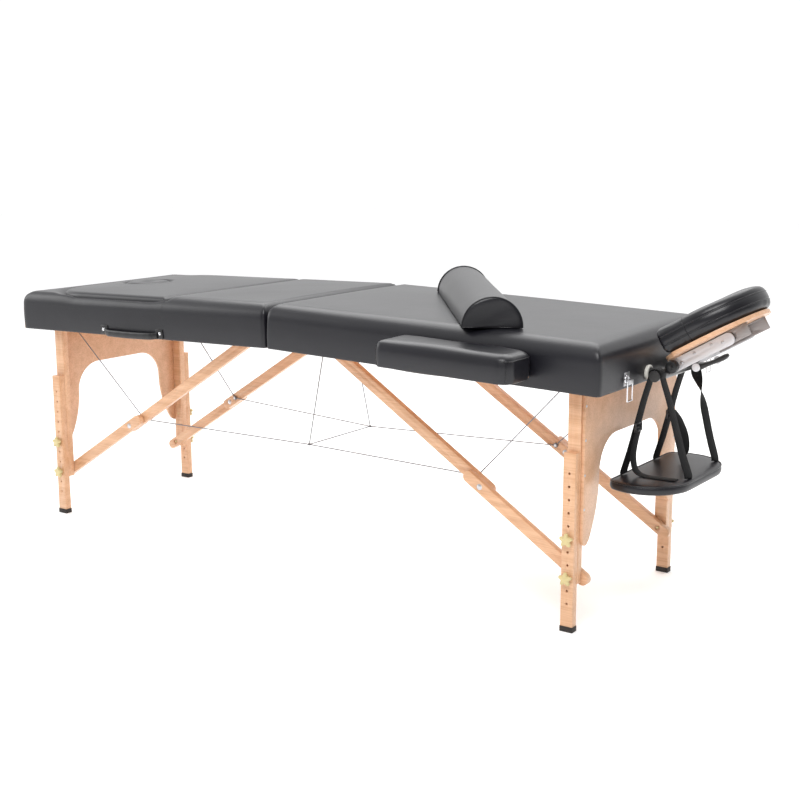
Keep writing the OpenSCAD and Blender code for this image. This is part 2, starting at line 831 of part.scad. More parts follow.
module armrest_2d(inset) {
    r = 30;
    x0 = armrest_x + inset;
    x1 = armrest_x + armrest_l - inset;
    y1 = -side_y - 2.5 - inset;
    y0 = -side_y - 2.5 - armrest_w + inset;
    translate([x0, y0 + r]) square([x1 - x0, y1 - y0 - r]);
    translate([x0 + r, y0]) square([x1 - x0 - 2 * r, r + 1]);
    for (x = [x0 + r, x1 - r]) translate([x, y0 + r]) circle(r);
}

// the blocks on the board that carry its two pins
module armrest_blocks(clear) {
    block = [28 + 2 * clear, 52 + 2 * clear, 16 + clear];
    for (x = armrest_pins)
        translate([armrest_x + x - block[0] / 2, -side_y - 66 - clear, armrest_low + armrest_board_t])
            cube(block);
}

module armrest_pad(side) {
    low = armrest_low + armrest_board_t + 0.1;
    color(black) at_half(head) on_side(side) difference() {
        translate([0, 0, low]) linear_extrude(armrest_top - low) armrest_2d(0);
        armrest_blocks(0.3);
        for (x = armrest_pins)
            rod_y(armrest_x + x, armrest_pin_z, -side_y - 20, -side_y, armrest_pin_r + gap);
    }
}

module armrest_board(side) {
    color(ply) at_half(head) on_side(side) {
        translate([0, 0, armrest_low]) linear_extrude(armrest_board_t) armrest_2d(8);
        armrest_blocks(0);
        for (x = armrest_pins)
            rod_y(armrest_x + x, armrest_pin_z, -side_y - 40, -rail_in, armrest_pin_r);
    }
}

bolster_at = [446, -27];
bolster_turn = 128.7;

module bolster() {
    color(black) at_half(head) translate([bolster_at[0], bolster_at[1], top_z + gap])
        rotate([0, 0, bolster_turn]) intersection() {
            rod_x(0, 2, -bolster_l / 2, bolster_l / 2, bolster_r);
            translate([-bolster_l / 2, -bolster_r, 0]) cube([bolster_l, 2 * bolster_r, bolster_r + 4]);
        }
}

hinge_pins();
centre_stay_wire();
head_frame();
head_cushion();
head_fittings();
leg_rod(head);  // head_leg_rod
rail_bushes();
carry_handle(head);  // handle_head
stay_cables(head);  // stay_cables_head
foot_frame();
foot_cushion();
foot_surround();
foot_fittings();
leg_rod(foot);  // foot_leg_rod
carry_handle(foot);  // handle_foot
stay_cables(foot);  // stay_cables_foot
backrest_board();
backrest_cushion();
backrest_prop();
face_plug();
leg_posts(head);  // head_leg_posts
arch_panel(head);  // head_arch_panel
leg_posts(foot);  // foot_leg_posts
arch_panel(foot);  // foot_arch_panel
lower_post(head, near);  // lower_post_head_near
lower_post(head, far);  // lower_post_head_far
lower_post(foot, near);  // lower_post_foot_near
lower_post(foot, far);  // lower_post_foot_far
foot_cap(head, near);  // foot_cap_head_near
foot_cap(head, far);  // foot_cap_head_far
foot_cap(foot, near);  // foot_cap_foot_near
foot_cap(foot, far);  // foot_cap_foot_far
star_knob(head, near, true);  // knob_head_near_low
star_knob(head, near, false);  // knob_head_near_high
star_knob(head, far, true);  // knob_head_far_low
star_knob(head, far, false);  // knob_head_far_high
star_knob(foot, near, true);  // knob_foot_near_low
star_knob(foot, near, false);  // knob_foot_near_high
star_knob(foot, far, true);  // knob_foot_far_low
star_knob(foot, far, false);  // knob_foot_far_high
upper_braces(head);  // head_upper_braces
lower_braces(head);  // head_lower_braces
upper_braces(foot);  // foot_upper_braces
lower_braces(foot);  // foot_lower_braces
headrest_base();
cradle_arms();
cradle_brackets();
cradle_platform();
face_cushion();
cam_lever();
pivot_knob();
arm_shelf();
sling_straps();
armrest_pad(near);  // armrest_pad_near
armrest_pad(far);  // armrest_pad_far
armrest_board(near);  // armrest_board_near
armrest_board(far);  // armrest_board_far
bolster();
latch_bail(latch_ys[0]);  // latch_bail_near
latch_bail(latch_ys[1]);  // latch_bail_far
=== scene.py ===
import json
import math
import bmesh
import bpy
import numpy as np
from math import cos, pi, sin
from mathutils import Matrix, Vector


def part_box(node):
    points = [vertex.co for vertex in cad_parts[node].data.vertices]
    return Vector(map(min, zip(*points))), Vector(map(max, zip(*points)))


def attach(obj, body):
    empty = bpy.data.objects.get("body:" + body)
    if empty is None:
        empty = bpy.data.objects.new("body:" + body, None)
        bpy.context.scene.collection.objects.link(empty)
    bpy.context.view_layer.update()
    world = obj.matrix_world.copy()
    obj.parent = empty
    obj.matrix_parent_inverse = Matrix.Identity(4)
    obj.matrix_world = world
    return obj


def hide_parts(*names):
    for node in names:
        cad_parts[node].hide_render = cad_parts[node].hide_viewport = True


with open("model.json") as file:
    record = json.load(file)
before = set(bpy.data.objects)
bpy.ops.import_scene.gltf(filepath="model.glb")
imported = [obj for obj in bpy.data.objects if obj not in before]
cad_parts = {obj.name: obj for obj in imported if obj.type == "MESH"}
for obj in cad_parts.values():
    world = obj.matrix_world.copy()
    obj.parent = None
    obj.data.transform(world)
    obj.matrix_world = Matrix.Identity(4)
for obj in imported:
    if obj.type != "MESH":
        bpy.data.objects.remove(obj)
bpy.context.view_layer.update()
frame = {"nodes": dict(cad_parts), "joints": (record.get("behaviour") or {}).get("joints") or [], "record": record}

MM = 0.001
NODES = frame["nodes"]
BODY_OF = {n: b for b, members in frame["record"]["behaviour"]["bodies"].items() for n in members}
JOINT = {j["name"]: j for j in frame["joints"]}
SLOT_OF = {s["node"]: s["material_slot"] for s in frame["record"]["subparts"]}

# the halves' own frame, as in the CAD: X from the fold, Z from the underside of the rails
CROWN = math.radians(1.4)
HINGE_DROP = 3
FOLD_X = JOINT["fold_first"]["pos_m"][0] / MM
FOLD_Z = JOINT["fold_first"]["pos_m"][2] / MM + HINGE_DROP
HEAD, FOOT = 1, -1
HALF_L, SIDE_Y = 925.0, 301.5
DECK_Z, TOP_Z = 60.0, 111.0


def at_half(p, side=HEAD):
    """From millimetres in a half's own frame to metres in the shared frame."""
    p = np.asarray(p, float)
    x, y, z = p[..., 0], p[..., 1], p[..., 2]
    out = np.empty_like(p)
    out[..., 0] = FOLD_X + side * (x * cos(CROWN) + z * sin(CROWN))
    out[..., 1] = y
    out[..., 2] = FOLD_Z - x * sin(CROWN) + z * cos(CROWN)
    return out * MM


# the face cradle's own frame: its slope, and its axle in the half's frame
SLOPE = math.radians(31.5)
PIVOT = (988.0, 41.0)


def at_cradle(p):
    """From the cradle's own frame to the shared frame."""
    p = np.asarray(p, float)
    out = np.empty_like(p)
    out[..., 0] = PIVOT[0] + p[..., 0] * cos(SLOPE) - p[..., 2] * sin(SLOPE)
    out[..., 1] = p[..., 1]
    out[..., 2] = PIVOT[1] + p[..., 0] * sin(SLOPE) + p[..., 2] * cos(SLOPE)
    return at_half(out)


def at_fold(p):
    """From millimetres upright above the floor, X from the fold, to the shared frame."""
    return (np.asarray(p, float) + np.array([FOLD_X, 0, 0])) * MM


# ---- materials ----

def material(name):
    m = bpy.data.materials.new(name)
    m.use_nodes = True
    tree = m.node_tree
    tree.nodes.clear()
    out = tree.nodes.new("ShaderNodeOutputMaterial")
    bsdf = tree.nodes.new("ShaderNodeBsdfPrincipled")
    tree.links.new(bsdf.outputs[0], out.inputs[0])
    return m, tree, bsdf


def node(tree, kind, **values):
    n = tree.nodes.new(kind)
    for key, value in values.items():
        if key in n.inputs:
            n.inputs[key].default_value = value
        else:
            setattr(n, key, value)
    return n


def mapping(tree, scale, rotation=(0, 0, 0)):
    coord = tree.nodes.new("ShaderNodeTexCoord")
    m = tree.nodes.new("ShaderNodeMapping")
    m.inputs["Scale"].default_value = scale
    m.inputs["Rotation"].default_value = rotation
    tree.links.new(coord.outputs["Object"], m.inputs[0])
    return m.outputs[0]


def ramp(tree, source, stops):
    r = tree.nodes.new("ShaderNodeValToRGB")
    tree.links.new(source, r.inputs[0])
    elements = r.color_ramp.elements
    while len(elements) < len(stops):
        elements.new(0.5)
    for e, (at, colour) in zip(elements, stops):
        e.position = at
        e.color = (*colour, 1)
    return r.outputs[0]


def span(tree, source, lo, hi):
    r = node(tree, "ShaderNodeMapRange")
    tree.links.new(source, r.inputs["Value"])
    r.inputs["To Min"].default_value = lo
    r.inputs["To Max"].default_value = hi
    return r.outputs[0]


def noise(tree, vector, scale, detail=3.0, rough=0.5):
    n = node(tree, "ShaderNodeTexNoise", Scale=scale, Detail=detail, Roughness=rough)
    tree.links.new(vector, n.inputs["Vector"])
    return n.outputs["Fac"]


def bump(tree, bsdf, heights):
    normal = None
    for source, strength, distance in heights:
        b = node(tree, "ShaderNodeBump", Strength=strength, Distance=distance)
        tree.links.new(source, b.inputs["Height"])
        if normal is not None:
            tree.links.new(normal, b.inputs["Normal"])
        normal = b.outputs[0]
    tree.links.new(normal, bsdf.inputs["Normal"])


def vinyl(name, base, rough, crease=0.25):
    m, t, b = material(name)
    v = mapping(t, (1, 1, 1))
    grain = node(t, "ShaderNodeTexVoronoi", Scale=620.0, feature="DISTANCE_TO_EDGE")
    t.links.new(v, grain.inputs["Vector"])
    pores = noise(t, v, 1400.0, 2.0)
    soft = noise(t, v, 7.0, 4.0, 0.55)
    wide = noise(t, v, 2.2, 2.0)
    t.links.new(ramp(t, soft, [(0.3, base), (0.75, tuple(c * 1.35 for c in base))]), b.inputs["Base Color"])
    t.links.new(span(t, wide, rough - 0.05, rough + 0.07), b.inputs["Roughness"])
    b.inputs["Specular IOR Level"].default_value = 0.5
    bump(t, b, [(soft, crease, 0.004), (grain.outputs["Distance"], 0.25, 0.0002), (pores, 0.1, 0.0001)])
    return m


def wood(name, rotation, light, dark, scale=1.0, rough=0.34):
    m, t, b = material(name)
    along = mapping(t, (1.2 * scale, 26 * scale, 26 * scale), rotation)
    fine = mapping(t, (9 * scale, 420 * scale, 420 * scale), rotation)
    bands = noise(t, along, 2.2, 4.0, 0.6)
    fleck = noise(t, fine, 1.0, 2.0, 0.6)
    middle = tuple((a + c) / 2 for a, c in zip(light, dark))
    tone = ramp(t, bands, [(0.28, dark), (0.5, middle), (0.72, light)])
    mix = node(t, "ShaderNodeMix", data_type="RGBA", blend_type="MULTIPLY")
    mix.inputs["Factor"].default_value = 0.45
    t.links.new(tone, mix.inputs["A"])
    t.links.new(ramp(t, fleck, [(0.35, (0.72, 0.62, 0.52)), (0.55, (1, 1, 1))]), mix.inputs["B"])
    t.links.new(mix.outputs["Result"], b.inputs["Base Color"])
    t.links.new(span(t, bands, rough - 0.05, rough + 0.08), b.inputs["Roughness"])
    b.inputs["Coat Weight"].default_value = 0.25
    b.inputs["Coat Roughness"].default_value = 0.22
    bump(t, b, [(fleck, 0.12, 0.0003), (bands, 0.1, 0.0006)])
    return m


def metal(name, base, rough, brushed=True):
    m, t, b = material(name)
    v = mapping(t, (30, 900, 900) if brushed else (60, 60, 60))
    lines = noise(t, v, 1.0, 3.0)
    t.links.new(ramp(t, lines, [(0.2, tuple(c * 0.82 for c in base)), (0.8, base)]), b.inputs["Base Color"])
    t.links.new(span(t, lines, rough - 0.06, rough + 0.08), b.inputs["Roughness"])
    b.inputs["Metallic"].default_value = 1.0
    bump(t, b, [(lines, 0.06, 0.0002)])
    return m


def plastic(name, base, rough, texture=300.0, depth=0.08, coat=0.0):
    m, t, b = material(name)
    v = mapping(t, (1, 1, 1))
    fine = noise(t, v, texture, 2.0)
    wide = noise(t, v, 12.0, 3.0)
    t.links.new(ramp(t, wide, [(0.3, tuple(c * 0.88 for c in base)), (0.7, base)]), b.inputs["Base Color"])
    t.links.new(span(t, fine, rough - 0.04, rough + 0.06), b.inputs["Roughness"])
    b.inputs["Coat Weight"].default_value = coat
    bump(t, b, [(fine, depth, 0.0003)])
    return m


def webbing(name):
    m, t, b = material(name)
    v = mapping(t, (1, 1, 1))
    waves = []
    for direction in ("X", "Y", "Z"):
        w = node(t, "ShaderNodeTexWave", Scale=190.0, Distortion=0.6, bands_direction=direction)
        t.links.new(v, w.inputs["Vector"])
        waves.append(w.outputs["Fac"])
    worn = noise(t, v, 40.0, 3.0)
    tone = ramp(t, worn, [(0.3, (0.003, 0.003, 0.0035)), (0.75, (0.008, 0.008, 0.009))])
    t.links.new(tone, b.inputs["Base Color"])
    b.inputs["Roughness"].default_value = 0.72
    b.inputs["Sheen Weight"].default_value = 0.04
    b.inputs["Specular IOR Level"].default_value = 0.25
    bump(t, b, [(waves[0], 0.3, 0.0004), (waves[2], 0.35, 0.0004), (waves[1], 0.3, 0.0004)])
    return m


LIGHT, DARK = (0.76, 0.475, 0.29), (0.62, 0.345, 0.19)
PLY_L, PLY_D = (0.74, 0.455, 0.285), (0.62, 0.36, 0.21)
BRACE = math.radians(31)  # slope of the grain along the knee braces
M = {
    "vinyl": vinyl("black_vinyl", (0.0062, 0.0060, 0.0088), 0.35),
    "vinyl_soft": vinyl("black_vinyl_soft", (0.0058, 0.0056, 0.0078), 0.32, 0.5),
    "vinyl_tight": vinyl("black_vinyl_tight", (0.0062, 0.0060, 0.0084), 0.36, 0.12),
    "seam": vinyl("black_piping", (0.0055, 0.0055, 0.0075), 0.28, 0.1),
    "wood_x": wood("beech_lengthwise", (0, 0, 0), LIGHT, DARK),
    "wood_z": wood("beech_upright", (0, pi / 2, 0), LIGHT, DARK),
    "wood_head": wood("beech_brace_head", (0, -BRACE, 0), LIGHT, DARK),
    "wood_foot": wood("beech_brace_foot", (0, BRACE, 0), LIGHT, DARK),
    "ply_z": wood("plywood_upright", (0, pi / 2, 0), PLY_L, PLY_D, 0.6, 0.4),
    "ply_x": wood("plywood_flat", (0, 0, 0), PLY_L, PLY_D, 0.6, 0.42),
    "steel": metal("zinc_steel", (0.62, 0.62, 0.64), 0.3),
    "cable": metal("cable_steel", (0.27, 0.27, 0.29), 0.5),
    "bracket": metal("bracket_steel", (0.36, 0.33, 0.32), 0.46),
    "chrome": metal("bright_wire", (0.80, 0.80, 0.82), 0.14, False),
    "dark_metal": plastic("dark_painted_steel", (0.022, 0.021, 0.021), 0.34, 500.0, 0.1, 0.2),
    "white_metal": plastic("white_painted_steel", (0.74, 0.74, 0.77), 0.32, 400.0, 0.05, 0.3),
    "white_plastic": plastic("white_plastic", (0.74, 0.72, 0.66), 0.3, 300.0, 0.04, 0.2),
    "black_plastic": plastic("black_plastic", (0.012, 0.012, 0.013), 0.34, 700.0, 0.12),
    "cream_plastic": plastic("cream_plastic", (0.66, 0.55, 0.27), 0.36, 260.0, 0.06, 0.1),
    "rubber": plastic("dark_rubber", (0.020, 0.016, 0.014), 0.62, 900.0, 0.2),
    "webbing": webbing("black_webbing"),
}


def slot_material(name):
    """The material of a node that keeps the one its slot in the record names."""
    slot = SLOT_OF[name]
    return {"frame_wood": "wood_x", "plywood": "ply_z"}.get(slot, slot)


# ---- mesh helpers ----

def link(name, data):
    """Puts new data into the scene as an object."""
    obj = bpy.data.objects.new(name, data)
    bpy.context.scene.collection.objects.link(obj)
    return obj


def mesh_piece(name, verts, faces, mat, body, sharp=None):
    """Makes a smooth-shaded object that rides on a body; sharp is the angle of its hard edges."""
    mesh = bpy.data.meshes.new(name)
    mesh.from_pydata([tuple(v) for v in np.asarray(verts)], [], [tuple(map(int, f)) for f in faces])
    bm = bmesh.new()
    bm.from_mesh(mesh)
    bmesh.ops.remove_doubles(bm, verts=bm.verts, dist=1e-6)
    bmesh.ops.recalc_face_normals(bm, faces=bm.faces)
    bm.to_mesh(mesh)
    bm.free()
    mesh.shade_smooth()
    obj = link(name, mesh)
    if sharp is not None:
        mesh.set_sharp_from_angle(angle=math.radians(sharp))
    mesh.materials.append(M[mat])
    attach(obj, body)
    return obj


def around(count):
    """Equal steps round a full turn."""
    return np.linspace(0, 2 * pi, count, endpoint=False)


def blunt(value, power):
    """Raises a sine or cosine to a power and keeps its sign, which squares a circle off."""
    return math.copysign(abs(value) ** power, value)


def join_parts(parts):
    """Several (verts, faces) as one."""
    verts, faces, base = [], [], 0
    for v, f in parts:
        v = np.asarray(v, float).reshape(-1, 3)
        verts.append(v)
        faces += [tuple(i + base for i in face) for face in f]
        base += len(v)
    return np.vstack(verts), faces


def loft(rings, caps=True, closed=False):
    """Rings of equal count, joined in turn; each ring is a closed loop."""
    n, m = len(rings), len(rings[0])
    verts = np.vstack(rings)
    faces = []
    for i in range(n if closed else n - 1):
        a, b = i * m, ((i + 1) % n) * m
        for j in range(m):
            k = (j + 1) % m
            faces.append((a + j, a + k, b + k, b + j))
    if caps and not closed:
        faces.append(tuple(range(m))[::-1])
        faces.append(tuple((n - 1) * m + j for j in range(m)))
    return verts, faces


def band(a0, a1, r0, r1, mid, edge=7):
    """Coordinates from a0 to a1 that crowd into the rounded edges r0 and r1."""
    phi = np.linspace(0, pi / 2, edge + 1)
    left = a0 + r0 * (1 - np.cos(phi))
    right = (a1 - r1 * (1 - np.cos(phi)))[::-1]
    return np.concatenate([left, np.linspace(a0 + r0, a1 - r1, mid + 1)[1:-1], right])


def to_disc(a, b, rc):
    """Turns a square corner into a round one of radius rc; a and b are distances to the edges."""
    u, v = np.maximum(rc - a, 0), np.maximum(rc - b, 0)
    big, length = np.maximum(u, v), np.hypot(u, v)
    f = np.where((u > 0) & (v > 0), big / np.maximum(length, 1e-9), 1.0)
    inside = (u > 0) & (v > 0)
    return np.where(inside, rc - u * f, a), np.where(inside, rc - v * f, b)


def upholstered(x0, x1, y0, y1, z_top, rx0, rx1, ry, rz, rc, crown, wall, floor_z,
                nx=60, ny=40, extra=None):
    """A closed pad: a crowned top with rounded edges, walls through the (inset, z) list, a floor."""
    xs, ys = band(x0, x1, rx0, rx1, nx), band(y0, y1, ry, ry, ny)
    gx, gy = np.meshgrid(xs, ys, indexing="ij")
    ax, bx, ay, by = gx - x0, x1 - gx, gy - y0, y1 - gy
    ux = np.maximum(np.clip(1 - ax / rx0, 0, 1), np.clip(1 - bx / rx1, 0, 1))
    uy = np.maximum(np.clip(1 - ay / ry, 0, 1), np.clip(1 - by / ry, 0, 1))
    m = np.maximum(ux, uy)
    cx, cy, hx, hy = (x0 + x1) / 2, (y0 + y1) / 2, (x1 - x0) / 2, (y1 - y0) / 2
    puff = (1 - ((gx - cx) / hx) ** 4) * (1 - ((gy - cy) / hy) ** 4)
    z = z_top - rz * (1 - np.sqrt(np.clip(1 - m * m, 0, 1))) + crown * puff
    left, low = ax < bx, ay < by
    a, b = np.where(left, ax, bx), np.where(low, ay, by)
    a, b = to_disc(a, b, np.where(left, rc[0], rc[1]))
    px, py = np.where(left, x0 + a, x1 - a), np.where(low, y0 + b, y1 - b)
    if extra is not None:
        z = z + extra(px, py, m)
    top = np.stack([px, py, z], -1)
    nX, nY = top.shape[:2]
    idx = np.arange(nX * nY).reshape(nX, nY)
    loop = np.concatenate([idx[:, 0], idx[-1, 1:], idx[-2::-1, -1], idx[0, -2:0:-1]])
    edge = top.reshape(-1, 3)[loop]
    tangent = np.roll(edge, -1, 0) - np.roll(edge, 1, 0)
    normal = np.stack([tangent[:, 1], -tangent[:, 0]], -1)
    normal /= np.maximum(np.linalg.norm(normal, axis=1, keepdims=True), 1e-9)
    verts = [top.reshape(-1, 3)]
    faces = [(idx[i, j], idx[i + 1, j], idx[i + 1, j + 1], idx[i, j + 1])
             for i in range(nX - 1) for j in range(nY - 1)]
    last, count, n = loop, nX * nY, len(loop)
    for inset, zz in wall:
        ring = edge.copy()
        ring[:, :2] -= normal * inset
        ring[:, 2] = zz
        now = np.arange(count, count + n)
        verts.append(ring)
        faces += [(last[k], last[(k + 1) % n], now[(k + 1) % n], now[k]) for k in range(n)]
        last, count = now, count + n
    inset = wall[-1][0]
    flat = top.reshape(-1, 3).copy()
    scale = np.array([(hx - inset) / hx, (hy - inset) / hy])
    flat[:, :2] = np.array([cx, cy]) + (flat[:, :2] - np.array([cx, cy])) * scale
    flat[:, 2] = floor_z
    verts.append(flat)
    base = idx + count
    low_loop = loop + count
    faces += [(last[k], last[(k + 1) % n], low_loop[(k + 1) % n], low_loop[k]) for k in range(n)]
    faces += [(base[i, j], base[i, j + 1], base[i + 1, j + 1], base[i + 1, j])
              for i in range(nX - 1) for j in range(nY - 1)]
    return np.vstack(verts), faces


def smooth_path(points, per):
    """Catmull-Rom through the points, with per steps between each two."""
    p = np.asarray(points, float)
    n = len(p)
    out = []
    for i in range(n - 1):
        a, b, c, d = p[max(i - 1, 0)], p[i], p[i + 1], p[min(i + 2, n - 1)]
        for t in np.linspace(0, 1, per, endpoint=False):
            out.append(0.5 * ((2 * b) + (-a + c) * t + (2 * a - 5 * b + 4 * c - d) * t * t
                              + (-a + 3 * b - 3 * c + d) * t ** 3))
    out.append(p[-1])
    return np.array(out)


def tube(path, radius, sides=10, closed=False):
    """A round tube along a path, with its sections carried along without twist."""
    path = np.asarray(path, float)
    n = len(path)
    tangent = (np.roll(path, -1, 0) - np.roll(path, 1, 0)) if closed else np.gradient(path, axis=0)
    tangent /= np.maximum(np.linalg.norm(tangent, axis=1, keepdims=True), 1e-12)
    ref = np.array([0.0, 0, 1]) if abs(tangent[0, 2]) < 0.9 else np.array([1.0, 0, 0])
    u = np.cross(tangent[0], ref)
    u /= np.linalg.norm(u)
    rings = []
    for i in range(n):
        u = u - tangent[i] * np.dot(u, tangent[i])
        u /= np.linalg.norm(u)
        w = np.cross(tangent[i], u)
        a = around(sides)[:, None]
        rings.append(path[i] + radius * (np.cos(a) * u + np.sin(a) * w))
    return loft(rings, caps=not closed, closed=closed)


def ribbon(path, across, width, thick):
    """A flat strap along a path; across gives its width's direction at each point."""
    path, across = np.asarray(path, float), np.asarray(across, float)
    tangent = np.gradient(path, axis=0)
    tangent /= np.maximum(np.linalg.norm(tangent, axis=1, keepdims=True), 1e-12)
    rings = []
    for p, t, w in zip(path, tangent, across):
        w = w - t * np.dot(w, t)
        w /= np.linalg.norm(w)
        n = np.cross(t, w)
        hw, ht = width / 2, thick / 2
        section = [(-hw, -ht * 0.4), (-hw * 0.94, -ht), (hw * 0.94, -ht), (hw, -ht * 0.4),
                   (hw, ht * 0.4), (hw * 0.94, ht), (-hw * 0.94, ht), (-hw, ht * 0.4)]
        rings.append(np.array([p + a * w + b * n for a, b in section]))
    return loft(rings)


def lathe(profile, sides=64):
    """Turns (r, z) about Z; the profile starts and ends on the axis or closes on itself."""
    a = around(sides)
    rings = [np.stack([r * np.cos(a), r * np.sin(a), np.full(sides, z)], -1) for r, z in profile]
    return loft(rings)


def rounded(name, width=1.2, segments=2, mats=None, small=None):
    """A node's own solids with their edges eased, each part with its material."""
    source = NODES[name]
    bm = bmesh.new()
    bm.from_mesh(source.data)
    bmesh.ops.remove_doubles(bm, verts=bm.verts, dist=2e-6)
    bmesh.ops.dissolve_limit(bm, angle_limit=math.radians(1.0), verts=bm.verts, edges=bm.edges)
    edges = [e for e in bm.edges if len(e.link_faces) == 2 and e.calc_face_angle(0) > math.radians(38)]
    bmesh.ops.bevel(bm, geom=edges, offset=width * MM, offset_type="OFFSET", segments=segments,
                    profile=0.5, affect="EDGES", clamp_overlap=True)
    bmesh.ops.recalc_face_normals(bm, faces=bm.faces)
    mats = mats or [slot_material(name)]
    if small is not None:
        seen = set()
        for seed in bm.faces:
            if seed in seen:
                continue
            island, stack = [], [seed]
            seen.add(seed)
            while stack:
                f = stack.pop()
                island.append(f)
                for e in f.edges:
                    for g in e.link_faces:
                        if g not in seen:
                            seen.add(g)
                            stack.append(g)
            co = np.array([v.co for f in island for v in f.verts])
            size = co.max(0) - co.min(0)
            if small(size):
                for f in island:
                    f.material_index = 1
    mesh = bpy.data.meshes.new(name + "_form")
    bm.to_mesh(mesh)
    bm.free()
    mesh.shade_smooth()
    mesh.set_sharp_from_angle(angle=math.radians(32))
    obj = link(name + "_form", mesh)
    for key in mats:
        mesh.materials.append(M[key])
    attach(obj, BODY_OF[name])
    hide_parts(name)
    return obj


# ---- hard parts: the CAD's solids with eased edges ----

def is_bolt(size):
    """Small or thin solids of a brace node are its steel; the rest is wood."""
    return size.max() < 0.045 or np.sort(size)[1] < 0.012


for end, wood_key in (("head", "wood_head"), ("foot", "wood_foot")):
    for part in ("upper", "lower"):
        rounded(f"{end}_{part}_braces", 1.6, 2, [wood_key, "steel"], is_bolt)
    rounded(f"{end}_leg_posts", 1.4, 2, ["wood_z"])
    rounded(f"{end}_arch_panel", 1.0, 2, ["ply_z"])
    rounded(f"{end}_frame", 1.0, 1, ["wood_x"])
    for side in ("near", "far"):
        rounded(f"lower_post_{end}_{side}", 1.4, 2, ["wood_z"])
        rounded(f"foot_cap_{end}_{side}", 1.0, 2, ["rubber"])
for name, ease in (("cradle_platform", 1.5), ("armrest_board_near", 1.2), ("armrest_board_far", 1.2),
                   ("backrest_board", 1.0)):
    rounded(name, ease, 2, ["ply_x"])
rounded("cradle_brackets", 0.6, 2, ["bracket"])
for name, ease in (("cradle_arms", 0.6), ("head_fittings", 0.5), ("foot_fittings", 0.5),
                   ("rail_bushes", 0.6)):
    rounded(name, ease, 2)
for name in ("hinge_pins", "centre_stay_wire", "head_leg_rod", "foot_leg_rod", "stay_cables_head",
             "stay_cables_foot", "headrest_base", "backrest_prop", "latch_bail_near", "latch_bail_far"):
    obj = NODES[name]
    key = "cable" if "stay" in name else "chrome" if "latch" in name else slot_material(name)
    obj.data.materials.clear()
    obj.data.materials.append(M[key])
    obj.data.shade_smooth()
    obj.data.set_sharp_from_angle(angle=math.radians(40))


# ---- upholstery of the top ----

def shell_wall(z_edge, bulge=1.2):
    """Down the side with a slight bulge, round the lower edge, under the rail and up to the deck."""
    levels = np.linspace(z_edge - 6, 4, 9)
    wall = [(-bulge * sin(pi * (z_edge - z) / z_edge), z) for z in levels]
    return wall + [(0.0, 1.5), (0.5, -0.2), (1.4, -1.0), (2.4, -0.9), (2.7, 1.0), (2.7, DECK_Z - 3)]


def pulled(px, py, m):
    """Slow waves of the vinyl over the foam, fading out over the rounded edges."""
    wave = 0.9 * np.sin(px / 118.0 + 0.7) * np.sin(py / 97.0 + 1.1)
    return wave * (1 - m)


head_verts, head_faces = upholstered(
    1.5, HALF_L, -SIDE_Y, SIDE_Y, TOP_Z, 24, 44, 42, 40, (10, 10), 2.5,
    shell_wall(TOP_Z - 40), DECK_Z + 0.2, 90, 56, pulled)
head_pad = mesh_piece("head_upholstery", at_half(head_verts, HEAD), head_faces, "vinyl", "head_half")
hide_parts("head_cushion")

# the seam that the backrest turns on, and the middle and radius of the face hole
SEAM_X = 361.0
FACE_HOLE_X, FACE_HOLE_R = 717.0, 67.4


def seam_dip(px, py, m):
    """The same slow waves, and the dip where the middle pad meets the backrest."""
    inner = np.clip((286 - np.abs(py)) / 10, 0, 1)
    return pulled(px, py, m) - 11.0 * inner * np.exp(-((SEAM_X - px) / 12.0) ** 2)


mid_verts, mid_faces = upholstered(
    1.5, SEAM_X - 0.4, -SIDE_Y, SIDE_Y, TOP_Z, 24, 0.4, 42, 40, (10, 0.3), 2.0,
    shell_wall(TOP_Z - 40), DECK_Z + 0.2, 60, 56, seam_dip)
mid_pad = mesh_piece("middle_upholstery", at_half(mid_verts, FOOT), mid_faces, "vinyl", "foot_half",
                     sharp=60)
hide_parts("foot_cushion")

# the surround: a closed section carried along the D-shaped gap that the backrest lies in
D_END, D_HALF, D_R = 843.0, 286.0, 142.0


def d_outline(offset, x_from, steps=36, straight=26, cross=16):
    """The backrest's outline from its near seam corner round to its far one."""
    x1, hw, r = D_END - offset, D_HALF - offset, D_R - offset
    near = [(x, -hw) for x in np.linspace(x_from, x1 - r, straight)]
    a = np.linspace(-pi / 2, 0, steps)
    corner = [(x1 - r + r * cos(t), -hw + r + r * sin(t)) for t in a[1:]]
    end = [(x1, y) for y in np.linspace(-hw + r, hw - r, cross)[1:]]
    half = near + corner
    return np.array(half + end + [(x, -y) for x, y in half[::-1]][1:])


def outer_outline(count_side, count_corner, count_end, x_from, rc=10.0):
    """The table's own outline, matched point by point to the backrest's."""
    x1, hw = HALF_L, SIDE_Y
    near = [(x, -hw) for x in np.linspace(x_from, D_END - D_R, count_side)]
    pts = []
    for s in np.linspace(0, 1, count_corner)[1:]:
        length_a, length_b = x1 - (D_END - D_R), hw - (D_HALF - D_R)
        arc = rc * pi / 2
        total = (length_a - rc) + arc + (length_b - rc)
        d = s * total
        if d < length_a - rc:
            pts.append((D_END - D_R + d, -hw))
        elif d < length_a - rc + arc:
            t = (d - (length_a - rc)) / rc
            pts.append((x1 - rc + rc * sin(t), -hw + rc - rc * cos(t)))
        else:
            pts.append((x1, -hw + rc + d - (length_a - rc) - arc))
    half = near + pts
    end = [(x1, y) for y in np.linspace(half[-1][1], -half[-1][1], count_end)[1:]]
    return np.array(half + end + [(x, -y) for x, y in half[::-1]][1:])


